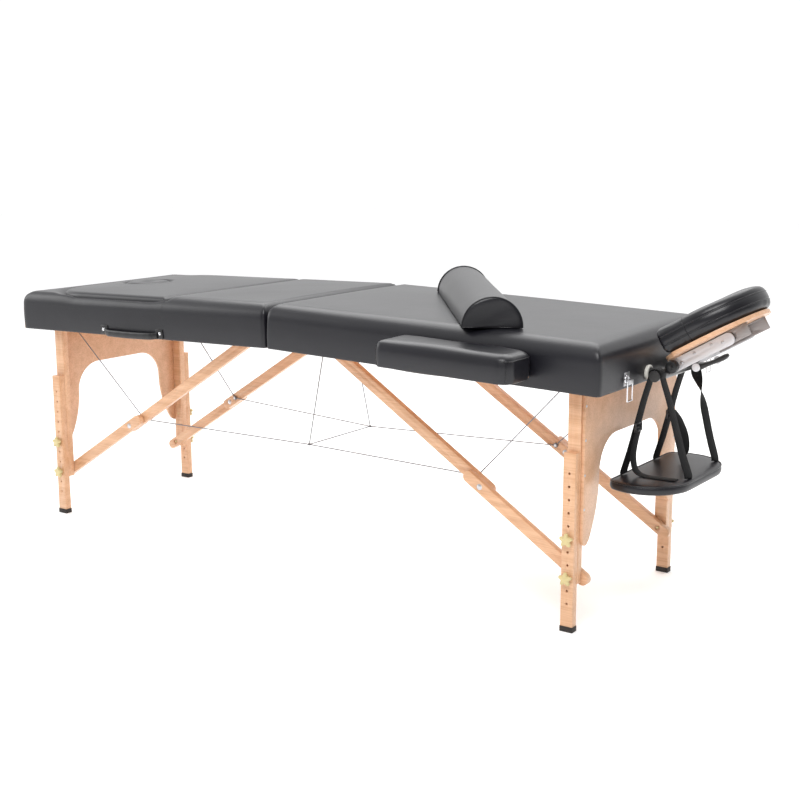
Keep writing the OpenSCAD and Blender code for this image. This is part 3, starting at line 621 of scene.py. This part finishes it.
def surround():
    """Sections from the backrest's edge out over the rim and down the side."""
    inner = d_outline(0.0, SEAM_X - 0.3)
    outer = outer_outline(26, 36, 16, SEAM_X - 0.3)
    n = min(len(inner), len(outer))
    rings = []
    for k in range(n):
        i, o = inner[k], outer[k]
        span_v = o - i
        width = np.linalg.norm(span_v)
        along = span_v / width
        section = []
        r_out, z_round = 42.0, 40.0
        wide = min(1.0, max(0.0, (width - 15.5) / 45.0))
        wide = wide * wide * (3 - 2 * wide)
        r_in = 8.0 + 30.0 * wide
        start = min(1.0, (i[0] - SEAM_X + 1) / 40)
        deep = (7.0 + 20.0 * wide) * start
        low = (4.0 + 1.0 * wide) * start

        def height(d_out, d_in):
            drop = z_round * (1 - math.sqrt(max(0.0, 1 - max(0.0, 1 - d_out / r_out) ** 2)))
            u = max(0.0, 1 - d_in / r_in)
            return TOP_Z - low * min(1.0, d_out / 20) - drop - deep * (1 - math.sqrt(max(0.0, 1 - u * u)))

        section.append((0.6, DECK_Z + 0.4))
        section.append((0.2, DECK_Z + 14))
        section.append((0.0, height(width, 0.0) - 7))
        for t in np.linspace(0, 1, 25):
            s = 0.5 - 0.5 * cos(pi * t)
            section.append((s * width, height((1 - s) * width, s * width)))
        for inset, z in shell_wall(TOP_Z - z_round)[:-1]:
            section.append((width - inset, z))
        section.append((width - 2.7, DECK_Z + 0.4))
        rings.append(np.array([[*(i + along * s), z] for s, z in section]))
    return loft(rings)


sur_verts, sur_faces = surround()
sur_pad = mesh_piece("surround_upholstery", at_half(sur_verts, FOOT), sur_faces, "vinyl", "foot_half",
                     sharp=60)
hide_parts("foot_surround")


def backrest():
    """The D-shaped cushion, as sections that run from the face hole out to the outline."""
    hole = np.array([FACE_HOLE_X, 0.0])
    x0, x1, hw, r = SEAM_X + 1.0, SEAM_X + 481.0, 284.0, 141.0
    r0 = 7.0
    near = [(x, -hw) for x in np.linspace(x0 + r0, x1 - r, 30)]
    far_arc = [(x1 - r + r * cos(t), -hw + r + r * sin(t))
               for t in np.linspace(-pi / 2, 0, 34)[1:]]
    end = [(x1, y) for y in np.linspace(-hw + r, hw - r, 16)[1:-1]]
    half = near + far_arc
    seam_arc = [(x0 + r0 - r0 * sin(t), hw - r0 + r0 * cos(t))
                for t in np.linspace(0, pi / 2, 6)[1:]]
    seam = [(x0, y) for y in np.linspace(hw - r0, -hw + r0, 34)[1:-1]]
    outline = np.array(half + end + [(x, -y) for x, y in half[::-1]]
                       + seam_arc + seam + [(x, -y) for x, y in seam_arc[::-1]])

    def edge_distance(p):
        d = hw - abs(p[1])
        d = min(d, p[0] - x0, x1 - p[0])
        cx, cy = x1 - r, hw - r
        if p[0] > cx and abs(p[1]) > cy:
            d = min(d, r - math.hypot(p[0] - cx, abs(p[1]) - cy))
        return max(d, 0.0)

    z_low, z_top, z_edge = 69.0, 114.4, 98.5
    ts = np.concatenate([[0, 0.006, 0.014, 0.026, 0.045], np.linspace(0.08, 0.86, 16),
                         [0.90, 0.93, 0.953, 0.97, 0.982, 0.991, 0.997, 1.0]])
    rings = []
    for p in outline:
        out_v = p - hole
        dist = np.linalg.norm(out_v)
        u = out_v / dist
        start = hole + u * FACE_HOLE_R
        length = dist - FACE_HOLE_R
        section = [(0.0, z_low), (0.0, 84.0), (0.0, 96.0)]
        for t in ts:
            q = start + u * (t * length)
            e = edge_distance(q)
            roll = 1 - min(1.0, e / 15.0)
            z = (z_edge + 11.0 * math.sqrt(1 - roll * roll)
                 + (z_top - z_edge - 11.0) * (1 - math.exp(-e / 70.0)))
            inner = t * length
            z -= 5.0 * math.exp(-(inner / 5.0) ** 2) - 1.0 * math.exp(-((inner - 16) / 9.0) ** 2)
            section.append((t * length, z))
        zc = section[-1][1]
        section += [(length + 0.9, zc - 5), (length + 1.2, (zc + z_low) / 2 + 2), (length + 0.6, z_low + 5),
                    (length - 1.0, z_low)]
        section += [(length * f, z_low) for f in (0.75, 0.5, 0.25)]
        rings.append(np.array([[*(start + u * s), z] for s, z in section]))
    return loft(rings, closed=True)


back_verts, back_faces = backrest()
back_pad = mesh_piece("backrest_upholstery", at_half(back_verts, FOOT), back_faces, "vinyl", "backrest")
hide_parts("backrest_cushion")

plug_profile = [(0.001, 61.5), (30, 61.5), (60, 61.5), (64.5, 62.5), (66.0, 66), (66.2, 80), (66.2, 96),
                (65.8, 103), (64.4, 108), (61.5, 111.5), (57, 113.8), (50, 115.2), (40, 115.6), (28, 115.0),
                (18, 113.6), (9, 112.2), (0.001, 111.8)]
plug_verts, plug_faces = lathe(plug_profile, 96)
plug_verts = plug_verts + np.array([FACE_HOLE_X, 0, 0])
plug = mesh_piece("face_plug_cushion", at_half(plug_verts, FOOT), plug_faces, "vinyl", "face_plug")
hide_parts("face_plug")


# ---- bolster ----

BOL_L, BOL_R = 620.0, 68.0
BOL_AT, BOL_TURN = (446, -27), math.radians(128.7)


def bolster_ring(x, shrink, push=0.0):
    """A half-round section at x, drawn in by shrink."""
    pts = [(cos(a) * BOL_R, 3.0 + sin(a) * (BOL_R - 1.0)) for a in np.linspace(0, pi, 41)]
    pts += [(-BOL_R + 1.2, 1.6), (-BOL_R + 5, 0.3)]
    pts += [(y, 0.2) for y in np.linspace(-BOL_R + 12, BOL_R - 12, 14)]
    pts += [(BOL_R - 5, 0.3), (BOL_R - 1.2, 1.6)]
    k = 1 - shrink / BOL_R
    return np.array([[x + push, y * k, 27.0 + (z - 27.0) * k] for y, z in pts])


def bolster():
    """The half-round cushion with slightly slack, sewn-in ends."""
    half = BOL_L / 2 - 3
    rings = []
    for x in np.linspace(-half, half, 45):
        near_end = min(half - abs(x), 60) / 60
        rings.append(bolster_ring(x, 0.8 * (1 - near_end) + 0.25 * sin(x / 41.0)))
    front, back = [], []
    for shrink, push in ((0.6, 0.7), (1.6, 1.4), (3.2, 2.0), (6.0, 2.5), (10.0, 2.8), (16.0, 2.9),
                         (24.0, 2.9), (33.0, 2.8), (43.0, 2.7), (53.0, 2.6), (61.0, 2.6), (66.0, 2.6)):
        front.append(bolster_ring(half, shrink, push))
        back.append(bolster_ring(-half, shrink, -push))
    for ring_set, sign in ((front, 1), (back, -1)):
        for ring in ring_set[2:]:
            y, z = ring[:, 1], ring[:, 2]
            slack = 0.8 * np.sin(y / 13.0 + 0.7 * np.sin(z / 17.0)) + 0.6 * np.sin((y + 2 * z) / 19.0 + 1.0)
            ring[:, 0] += sign * slack * min(1.0, (BOL_R - ring[:, 1].max()) / 8.0)
    return loft(back[::-1] + rings + front)


def at_bolster(p):
    """From the bolster's own frame to where it lies on the head half."""
    p = np.asarray(p, float)
    out = np.empty_like(p)
    out[..., 0] = BOL_AT[0] + p[..., 0] * cos(BOL_TURN) - p[..., 1] * sin(BOL_TURN)
    out[..., 1] = BOL_AT[1] + p[..., 0] * sin(BOL_TURN) + p[..., 1] * cos(BOL_TURN)
    out[..., 2] = TOP_Z + 1.8 + p[..., 2]
    return at_half(out)


bol_verts, bol_faces = bolster()
bol = mesh_piece("bolster_cushion", at_bolster(bol_verts), bol_faces, "vinyl_tight", "bolster")
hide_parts("bolster")
pipes = []
for x in (-BOL_L / 2 + 2.4, BOL_L / 2 - 2.4):
    loop = bolster_ring(x, -0.2)
    loop[:, 2] = np.maximum(loop[:, 2], 1.9)
    pipes.append(tube(loop, 1.9, 8, closed=True))
pv, pf = join_parts(pipes)
mesh_piece("bolster_piping", at_bolster(pv), pf, "seam", "bolster")


# ---- armrests ----

def armrest(side_name, sign):
    """A padded shell over its board: the vinyl comes down past the board and is open underneath."""
    wall = [(-1.4, 66), (-2.2, 56), (-2.2, 46), (-1.5, 36), (-0.6, 28), (0.0, 23.5), (0.7, 21.6), (1.9, 20.9),
            (3.0, 21.8), (3.4, 25.0), (3.4, 29.8)]
    x0, x1, y_out, y_in = 422.0, 768.0, -414.5, -304.5

    def creases(px, py, m):
        return 0.9 * np.sin(px / 33.0) * np.sin(py / 29.0) * (1 - m)

    v, f = upholstered(x0, x1, y_out, y_in, 82.5, 22, 24, 22, 13, (13, 30), 3.0, wall, 30.2, 60, 30, creases)
    v[:, 1] *= -sign
    obj = mesh_piece(f"armrest_cushion_{side_name}", at_half(v), f, "vinyl", f"armrest_{side_name}")
    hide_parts(f"armrest_pad_{side_name}")
    seams = []
    welt = [(x1 + 0.4, y) for y in np.linspace(y_out + 30, y_in - 30, 9)]
    corner_out = [(x1 - 30 + 30.4 * cos(a), y_out + 30 + 30.4 * sin(a))
                  for a in np.linspace(-pi / 2, 0, 9)]
    corner_in = [(x1 - 30 + 30.4 * cos(a), y_in - 30 + 30.4 * sin(a))
                 for a in np.linspace(0, pi / 2, 9)]
    path = np.array([(x, y, 70.5) for x, y in corner_out[2:] + welt[1:-1] + corner_in])
    seams.append(tube(smooth_path(path, 3), 1.3, 8))
    for cx, cy, a in ((x1 - 30, y_out + 30, -0.8), (x0 + 13, y_out + 13, -2.35)):
        r = 30.6 if cx > 600 else 13.6
        line = [(cx + (r + bulge) * cos(a), cy + (r + bulge) * sin(a), z)
                for bulge, z in ((0.0, 70), (1.4, 62), (1.9, 52), (1.7, 42), (0.9, 32), (0.0, 24))]
        seams.append(tube(smooth_path(line, 4), 1.2, 8))
    tv, tf = join_parts(seams)
    tv[:, 1] *= -sign
    mesh_piece(f"armrest_seams_{side_name}", at_half(tv), tf, "seam", f"armrest_{side_name}")


armrest("near", -1)
armrest("far", 1)


# ---- face cushion ----

# heights of the two sewn seams, from -1 at the cushion's underside to 1 at its top
SEAM_LEVELS = (0.30, -0.34)


def face_cushion():
    """The crescent: a fat section swept round its horseshoe outline, with two seams and two joins."""
    half_w, hole_half, end_c, hole_c = 129.0, 52.0, 102.0, 90.0

    def straight(s, side):
        return (20 + s * (end_c - 20), side * half_w), (20 + s * (hole_c - 20), side * hole_half)

    stations = [straight(s, -1) for s in np.linspace(0, 1, 22)[:-1]]
    for a in np.linspace(-pi / 2, pi / 2, 56):
        stations.append(((end_c + half_w * cos(a), half_w * sin(a)),
                         (hole_c + hole_half * cos(a), hole_half * sin(a))))
    stations += [straight(s, 1) for s in np.linspace(1, 0, 22)[1:]]
    z_mid, half_h = 26.3 + 29.4, 29.0
    n = len(stations)
    rings = []

    def middle_and_arm(k):
        o, i = (np.array(point, float) for point in stations[k])
        return (o + i) / 2, (o - i) / 2

    def section(k, scale, shift):
        mid, arm = middle_and_arm(k)
        pts = []
        for a in around(64):
            sx, sz = blunt(cos(a), 0.5), blunt(sin(a), 0.7)
            groove = 0.0
            for level in SEAM_LEVELS:
                groove += 1.6 * math.exp(-((sz - level) / 0.055) ** 2) * abs(sx) ** 6
            wrinkle = 0.0
            if sz < -0.25:
                wrinkle = 0.9 * sin(k * 1.15 + 2 * sin(k * 0.37)) * min(1.0, (-sz - 0.25) * 3)
            inset = (groove + wrinkle) / max(np.linalg.norm(arm), 1)
            q = mid + arm * (sx * (1 - inset)) * scale
            zz = z_mid + half_h * sz * (0.35 + 0.65 * scale) + 0.6 * sin(k * 0.33) * max(0, sz)
            pts.append((q[0] + shift, q[1], zz))
        return np.array(pts)

    tips = ((0.08, 0.4), (0.5, 0.7), (0.8, 1.8), (0.93, 4.0))
    rings += [section(0, scale, shift - 0.4) for scale, shift in tips]
    rings += [section(k, 1.0, 0.0) for k in range(2, n - 2)]
    rings += [section(n - 1, scale, shift - 0.4) for scale, shift in tips[::-1]]
    body = loft(rings)
    seams = []
    for level in SEAM_LEVELS:
        path = []
        for k in range(2, n - 2):
            mid, arm = middle_and_arm(k)
            reach = (1 - abs(level) ** (2 / 0.7)) ** 0.25
            path.append((*(mid + arm * reach * 0.99), z_mid + half_h * level))
        seams.append(tube(path, 1.3, 8))
    for k in (18, n - 19):
        mid, arm = middle_and_arm(k)
        path = []
        for a in np.linspace(-1.25, 1.9, 24):
            sx, sz = blunt(cos(a), 0.5), blunt(sin(a), 0.7)
            path.append((*(mid + arm * sx * 0.995), z_mid + half_h * sz * 0.995))
        seams.append(tube(path, 1.1, 8))
    return body, join_parts(seams)


(face_v, face_f), (seam_v, seam_f) = face_cushion()
face = mesh_piece("face_cradle_cushion", at_cradle(face_v), face_f, "vinyl_soft", "cradle")
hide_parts("face_cushion")
mesh_piece("face_cradle_seams", at_cradle(seam_v), seam_f, "seam", "cradle")


# ---- arm sling ----

SHELF_TOP, SHELF_T = 338.0, 22.0


def shelf_outline(inset, steps=34):
    """Straight at the back, full at the sides and nearly straight in front."""
    x, y, r, back = 945.0, 80.0, 100.0 - inset, 885.0 + inset
    a1 = math.acos(max(-1.0, min(0.999, (back - x) / r)))
    far = [(x + r * cos(a), y + r * sin(a)) for a in np.linspace(0, a1, steps)]
    line = [(far[-1][0], v) for v in np.linspace(far[-1][1], -far[-1][1], steps)[1:-1]]
    near = [(px, -py) for px, py in far[::-1]]
    front = [(x + r, v) for v in np.linspace(-y, y, 14)[1:-1]]
    pts = np.array(far + line + near + front)
    for _ in range(2):
        pts = 0.25 * np.roll(pts, 1, 0) + 0.5 * pts + 0.25 * np.roll(pts, -1, 0)
    return pts


def shelf():
    """The thin padded shelf: a rounded edge with a crowned top."""
    rings = []
    for inset, z in ((60, 0.3), (20, 0.2), (6, 0.4), (2, 2.0), (0.4, 5.0), (-0.6, 9.0), (-0.6, 13.0),
                     (0.2, 17.0), (1.6, 19.6), (2.4, 19.3), (4.5, 20.8), (9, 21.8), (18, 22.6), (34, 23.2),
                     (56, 23.4), (72, 23.0)):
        o = shelf_outline(inset)
        rings.append(np.column_stack([o, np.full(len(o), SHELF_TOP - SHELF_T + z)]))
    return loft(rings)


sv, sf = shelf()
shelf_pad = mesh_piece("sling_shelf_cushion", at_fold(sv), sf, "vinyl_tight", "arm_sling")
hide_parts("arm_shelf")
rim = shelf_outline(1.0)
pv, pf = tube(np.column_stack([rim, np.full(len(rim), SHELF_TOP - 2.0)]), 1.8, 8, closed=True)
mesh_piece("sling_shelf_piping", at_fold(pv), pf, "seam", "arm_sling")

# the crossbar that the loops hang on, in the half's own frame
BAR = (960, 20)
SLING_X = BAR[0] * cos(CROWN) + BAR[1] * sin(CROWN)
SLING_Z = FOLD_Z - BAR[0] * sin(CROWN) + BAR[1] * cos(CROWN)
STRAP_W, STRAP_T = 24.0, 1.7
LOOP = 15.0


def strap(y_loop, side_x, foot, turn_top, turn_foot, begin=0.1, over=0.8):
    """One strap from its loop on the bar down to the shelf; its width turns on the way."""
    start = np.array([SLING_X + side_x * LOOP, y_loop, SLING_Z])
    end = np.array([foot[0], foot[1], SHELF_TOP + 1.5])
    ctrl = [start + [0, 0, 4], start + [0, 0, -8]] + [start + (end - start) * t for t in (0.25, 0.5, 0.75)]
    path = smooth_path(ctrl + [end + [0, 0, 9], end], 9)
    widths = []
    for k in range(len(path)):
        t = max(0.0, min(1.0, (k / (len(path) - 1) - begin) / over))
        a = turn_top * min(1.0, k / 12) + (turn_foot - turn_top) * t * t * (3 - 2 * t)
        widths.append((sin(a), cos(a), 0))
    return ribbon(path, widths, STRAP_W, STRAP_T)


straps = []
for y in (-89.0, 89.0):
    ring = [(SLING_X + (LOOP + 0.6) * cos(a), y, SLING_Z + (LOOP + 0.6) * sin(a))
            for a in np.linspace(-0.35, pi + 0.35, 26)]
    straps.append(ribbon(ring, [(0, 1, 0)] * len(ring), STRAP_W, STRAP_T))
straps += [
    strap(-89, -1, (892, -98), 0.22, 0.30),
    strap(-89, 1, (1031, -62), 0.10, 0.35),
    strap(89, -1, (891, 79), 0.25, 0.30),
    strap(89, 1, (1016, 128), 0.15, pi + 0.35, 0.06, 0.42),
]


def tail(points, across):
    """A loose end of webbing; across gives its width's direction at its two ends."""
    path = smooth_path(points, 7)
    s = np.linspace(0, 1, len(path))[:, None]
    return ribbon(path, (1 - s) * np.array(across[0]) + s * np.array(across[1]), STRAP_W, STRAP_T)


straps += [
    tail([(923, -91, 452), (916, -93, 420), (912, -95, 385), (916, -96, 358), (926, -97, 345),
          (946, -99, 340.6), (980, -97, 340.4), (1018, -93, 340.6)], ((0.15, 1, 0), (0.05, 1, 0))),
    tail([(925, 87, 456), (940, 88, 436), (955, 88, 402), (958, 88, 368), (950, 87, 352)],
         ((0.2, 1, 0), (0.6, 0.8, 0))),
]
wv, wf = join_parts(straps)
webs = mesh_piece("sling_webbing", at_fold(wv), wf, "webbing", "arm_sling", sharp=50)
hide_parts("sling_straps")
buckles = []
for x, y, z in ((917, -93, 450), (913, 84, 450)):
    for dz in (-9, 0, 9):
        buckles.append(tube([(x + 4, y - 15, z + dz), (x + 4, y + 15, z + dz)], 2.3, 10))
    for dy in (-15, 15):
        buckles.append(tube([(x + 4, y + dy, z - 10), (x + 4, y + dy, z + 10)], 2.3, 10))
bv, bf = join_parts(buckles)
mesh_piece("sling_buckles", at_fold(bv), bf, "black_plastic", "arm_sling")


# ---- handles, knobs and small fittings ----

def rounded_box(lo, hi, r, steps=4):
    """A box with rounded edges and corners, as rings of a rounded rectangle."""
    lo, hi = np.array(lo, float), np.array(hi, float)
    rings = []
    for part in ("low", "high"):
        angles = np.linspace(0, pi / 2, steps)
        for a in (angles if part == "low" else angles[::-1]):
            inset = r * (1 - sin(a))
            z = lo[2] + r * (1 - cos(a)) if part == "low" else hi[2] - r * (1 - cos(a))
            pts = []
            for cx, cy, a0 in ((hi[0] - r, hi[1] - r, 0), (lo[0] + r, hi[1] - r, 90),
                               (lo[0] + r, lo[1] + r, 180), (hi[0] - r, lo[1] + r, 270)):
                for b in np.linspace(math.radians(a0), math.radians(a0 + 90), steps + 1):
                    pts.append((cx + (r - inset) * cos(b), cy + (r - inset) * sin(b), z))
            rings.append(np.array(pts))
    return loft(rings)


def dome(centre, axis, radius, height):
    """A pan screw head that stands out along axis."""
    prof = [(0.001, -0.6), (radius, -0.6), (radius, height * 0.35), (radius * 0.86, height * 0.75),
            (radius * 0.55, height), (radius * 0.24, height), (radius * 0.2, height * 0.55),
            (0.001, height * 0.5)]
    v, f = lathe(prof, 20)
    q = Vector((0, 0, 1)).rotation_difference(Vector(axis)).to_matrix()
    return (np.array(q) @ v.T).T + np.array(centre), f


def handle(side, body, node_name):
    """A ribbed grip that bows out between two screwed tabs."""
    x0, x1, tab = 356.0, 593.0, 26.0
    face = -SIDE_Y - 0.2
    parts = []
    for x in (x0, x1 - tab):
        parts.append(rounded_box((x, face - 3.4, 1.5), (x + tab, face, 26.5), 1.4))
    path = smooth_path([(x0 + 20, face - 3, 9), (x0 + 30, face - 8, 8), (x0 + 46, face - 13, 7.2),
                        (x0 + 118, face - 14.5, 6.2), (x1 - 46, face - 13, 7.2), (x1 - 30, face - 8, 8),
                        (x1 - 20, face - 3, 9)], 10)
    tangent = np.gradient(path, axis=0)
    rings = []
    for k, (p, t) in enumerate(zip(path, tangent)):
        t = t / np.linalg.norm(t)
        n = np.array([-t[1], t[0], 0.0])
        rib = 1 + 0.05 * cos(k * 1.4) if 10 < k < len(path) - 11 else 1.0
        ring = []
        for a in around(20):
            up = np.array([0, 0, 9.0 * blunt(sin(a), 0.7)])
            ring.append(p + n * (4.6 * blunt(cos(a), 0.7) * rib) + up)
        rings.append(np.array(ring))
    parts.append(loft(rings))
    v, f = join_parts(parts)
    obj = mesh_piece(f"carry_{node_name}", at_half(v, side), f, "black_plastic", body,
                     sharp=45)
    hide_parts(node_name)
    screws = [dome((x, face - 3.2, 15), (0, -1, 0), 4.6, 2.4) for x in (x0 + 10, x1 - 10)]
    v, f = join_parts(screws)
    mesh_piece(f"{node_name}_screws", at_half(v, side), f, "chrome", body)


handle(HEAD, "head_half", "handle_head")
handle(FOOT, "foot_half", "handle_foot")


def star_knob(name):
    """A soft five-lobed knob; its bolt is the CAD's own length."""
    lo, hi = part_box(name)
    _, end, side, level = name.split("_")
    far = side == "far"
    out = 1.0 if far else -1.0
    joint = JOINT[f"{end}_{side}_{level}_knob_turn"]
    cx, cz = joint["pos_m"][0] / MM, joint["pos_m"][2] / MM
    tip = (hi.y if far else lo.y) / MM
    root = (lo.y if far else hi.y) / MM
    rings = []
    profile = [(0.0, 0.02), (0.25, 0.5), (0.5, 0.8), (1.4, 0.95), (3.0, 1.0), (6.5, 1.0), (8.4, 0.95),
               (9.4, 0.82), (9.8, 0.6), (9.9, 0.5)]
    for depth, scale in profile:
        radii = [(a, (13.1 + 3.4 * cos(5 * (a - pi / 2))) * scale) for a in around(80)]
        rings.append(np.array([(cx + r * cos(a), tip - out * depth, cz + r * sin(a)) for a, r in radii]))
    parts = [loft(rings)]
    base = [(8.0, 9.7), (8.2, 13.6), (3.0, 13.9), (3.0, abs(tip - root)), (0.01, abs(tip - root))]
    rings = []
    for r, depth in base:
        ring = [(cx + r * cos(a), tip - out * depth, cz + r * sin(a))
                for a in around(32)]
        rings.append(np.array(ring))
    parts.append(loft(rings))
    v, f = join_parts(parts)
    obj = mesh_piece(name + "_grip", v * MM, f, "cream_plastic", BODY_OF[name], sharp=50)
    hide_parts(name)


for end in ("head", "foot"):
    for side in ("near", "far"):
        for level in ("low", "high"):
            star_knob(f"knob_{end}_{side}_{level}")


def pivot_knob():
    """A fluted ring round the cradle's axle."""
    lo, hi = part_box("pivot_knob")
    c = (np.array(lo) + np.array(hi)) / 2 / MM
    y0, y1 = lo.y / MM, hi.y / MM
    rings = []
    profile = [(0.0, 4.3), (0.0, 9.0), (0.6, 12.4), (2.2, 14.2), (4.5, 15.0), (12.5, 15.0), (14.5, 14.4),
               (16.0, 12.6), (16.2, 9.0), (y1 - y0, 9.0), (y1 - y0, 4.3)]
    for depth, radius in profile:
        ring = []
        for a in around(96):
            r = radius - (0.7 * max(0.0, cos(12 * a)) if 3 < depth < 14 else 0.0)
            ring.append((c[0] + r * cos(a), y0 + depth, c[2] + r * sin(a)))
        rings.append(np.array(ring))
    v, f = loft(rings, closed=True)
    obj = mesh_piece("cradle_pivot_knob", v * MM, f, "black_plastic", "pivot_knob", sharp=40)
    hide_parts("pivot_knob")


pivot_knob()


def cam_lever():
    """The lever: a round hub on its pin and a paddle that widens to its end."""
    root = np.array([44.0, 0, -24.0])
    rings = []
    stations = [(-7.5, 5.0, 8.0, 0.0), (-3.0, 8.2, 9.5, 0.0), (6.0, 8.6, 9.8, -0.5), (16.0, 6.0, 8.5, -2.5),
                (30.0, 5.0, 7.5, -4.5), (46.0, 5.2, 8.5, -6.0), (58.0, 6.0, 9.8, -6.5),
                (68.0, 5.6, 9.6, -6.0), (73.0, 3.6, 7.0, -5.5), (75.0, 1.0, 2.5, -5.2)]
    for x, h, w, drop in stations:
        rings.append(np.array([(root[0] + x, -46.0 + w * blunt(cos(a), 0.7),
                                root[2] + drop + h * blunt(sin(a), 0.7)) for a in around(28)]))
    v, f = loft(rings)
    obj = mesh_piece("cradle_cam_lever", at_cradle(v), f, "black_plastic", "cam_lever",
                     sharp=60)
    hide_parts("cam_lever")


cam_lever()

# screws on the cradle's arms, collars round the dowels, screws of the arch panels
screws = []
for x, z in ((56, 6), (100, 7), (126, 0), (20, 0)):
    for sign in (-1, 1):
        screws.append(dome((x, sign * 63.0, z), (0, sign, 0), 3.4, 1.8))
v, f = join_parts(screws)
mesh_piece("cradle_arm_screws", at_cradle(v), f, "steel", "cradle_arms")

collars = []
for sign in (-1, 1):
    prof = [(11.3, 0.0), (16.2, 0.0), (17.2, 1.4), (17.0, 4.0), (15.2, 6.2), (12.6, 6.8), (11.3, 6.0)]
    ring_set = []
    for r, h in prof:
        ring_set.append(np.array([(HALF_L + 2.2 + h, sign * 65.0 + r * cos(a), 20 + r * sin(a))
                                  for a in around(48)]))
    collars.append(loft(ring_set, closed=True))
v, f = join_parts(collars)
mesh_piece("dowel_collars", at_half(v), f, "white_plastic", "head_half")

rings = []
for y in (-173.0, 265.0):
    eye = [(HALF_L + 5.5, y - 8 + 8.5 * cos(a), 21 + 8.5 * sin(a))
           for a in around(36)]
    rings.append(tube(eye, 2.0, 10, closed=True))
v, f = join_parts(rings)
mesh_piece("latch_eyes", at_half(v), f, "chrome", "head_half")

for end in ("head", "foot"):
    side = 1 if end == "head" else -1
    lo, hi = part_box(f"{end}_arch_panel")
    x = (hi.x if side > 0 else lo.x) / MM
    spots = [(x, sy * 236.0, z) for sy in (-1, 1) for z in (515.0, 438.0, 359.0, 281.0)]
    v, f = join_parts([dome(p, (side, 0, 0), 3.2, 1.0) for p in spots])
    mesh_piece(f"{end}_panel_screws", v * MM, f, "steel", f"{end}_legs")


# ---- stage, light and camera ----

def plane(name, corners, mat):
    """A flat stage surface."""
    mesh = bpy.data.meshes.new(name)
    mesh.from_pydata(corners, [], [tuple(range(len(corners)))])
    obj = link(name, mesh)
    mesh.materials.append(mat)


floor_mat, _, floor_bsdf = material("pale_floor")
floor_bsdf.inputs["Base Color"].default_value = (0.93, 0.93, 0.93, 1)
floor_bsdf.inputs["Roughness"].default_value = 0.8
floor_bsdf.inputs["Emission Color"].default_value = (1, 1, 1, 1)
floor_bsdf.inputs["Emission Strength"].default_value = 0.22
plane("floor", [(-14, -14, 0), (14, -14, 0), (14, 14, 0), (-14, 14, 0)], floor_mat)

world = bpy.data.worlds.new("studio")
bpy.context.scene.world = world
world.use_nodes = True
# a white wall behind the table and a darker room in front of it
sky = world.node_tree
sky.nodes["Background"].inputs[0].default_value = (1, 1, 1, 1)
direction = node(sky, "ShaderNodeTexCoord")
facing = node(sky, "ShaderNodeVectorMath", operation="DOT_PRODUCT")
facing.inputs[1].default_value = (-0.58, 0.815, 0.25)
sky.links.new(direction.outputs["Generated"], facing.inputs[0])
level = node(sky, "ShaderNodeMapRange")
for socket, value in (("From Min", -0.55), ("From Max", 0.25), ("To Min", 0.22), ("To Max", 1.08)):
    level.inputs[socket].default_value = value
sky.links.new(facing.outputs["Value"], level.inputs["Value"])
sky.links.new(level.outputs[0], sky.nodes["Background"].inputs["Strength"])
bpy.context.scene.view_settings.view_transform = "Standard"


def soft_light(name, at, target, size, power):
    """A rectangular area light that looks at its target."""
    data = bpy.data.lights.new(name, "AREA")
    data.shape = "RECTANGLE"
    data.size, data.size_y = size
    data.energy = power
    obj = link(name, data)
    obj.location = at
    obj.rotation_mode = "QUATERNION"
    obj.rotation_quaternion = (Vector(target) - Vector(at)).to_track_quat("-Z", "Y")


soft_light("key", (1.6, -2.8, 3.4), (0.0, 0.0, 0.4), (2.6, 2.0), 120)
soft_light("top", (-0.6, 1.2, 3.0), (0.0, 0.0, 0.6), (3.6, 2.4), 80)
soft_light("left", (-3.2, -1.4, 1.8), (-0.4, 0.0, 0.5), (1.8, 1.6), 26)

camera_data = bpy.data.cameras.new("camera")
camera_data.sensor_width = 36.0
camera_data.lens = 59.5
camera_data.clip_end = 100
camera = link("camera", camera_data)
YAW, PITCH, ROLL = 0.6181, 0.1967, -0.0031
camera.matrix_world = (Matrix.Translation((2.1656 + FOLD_X * MM, -2.7667, 1.0912))
                       @ Matrix.Rotation(YAW, 4, "Z") @ Matrix.Rotation(pi / 2 - PITCH, 4, "X")
                       @ Matrix.Rotation(ROLL, 4, "Z"))
bpy.context.scene.camera = camera
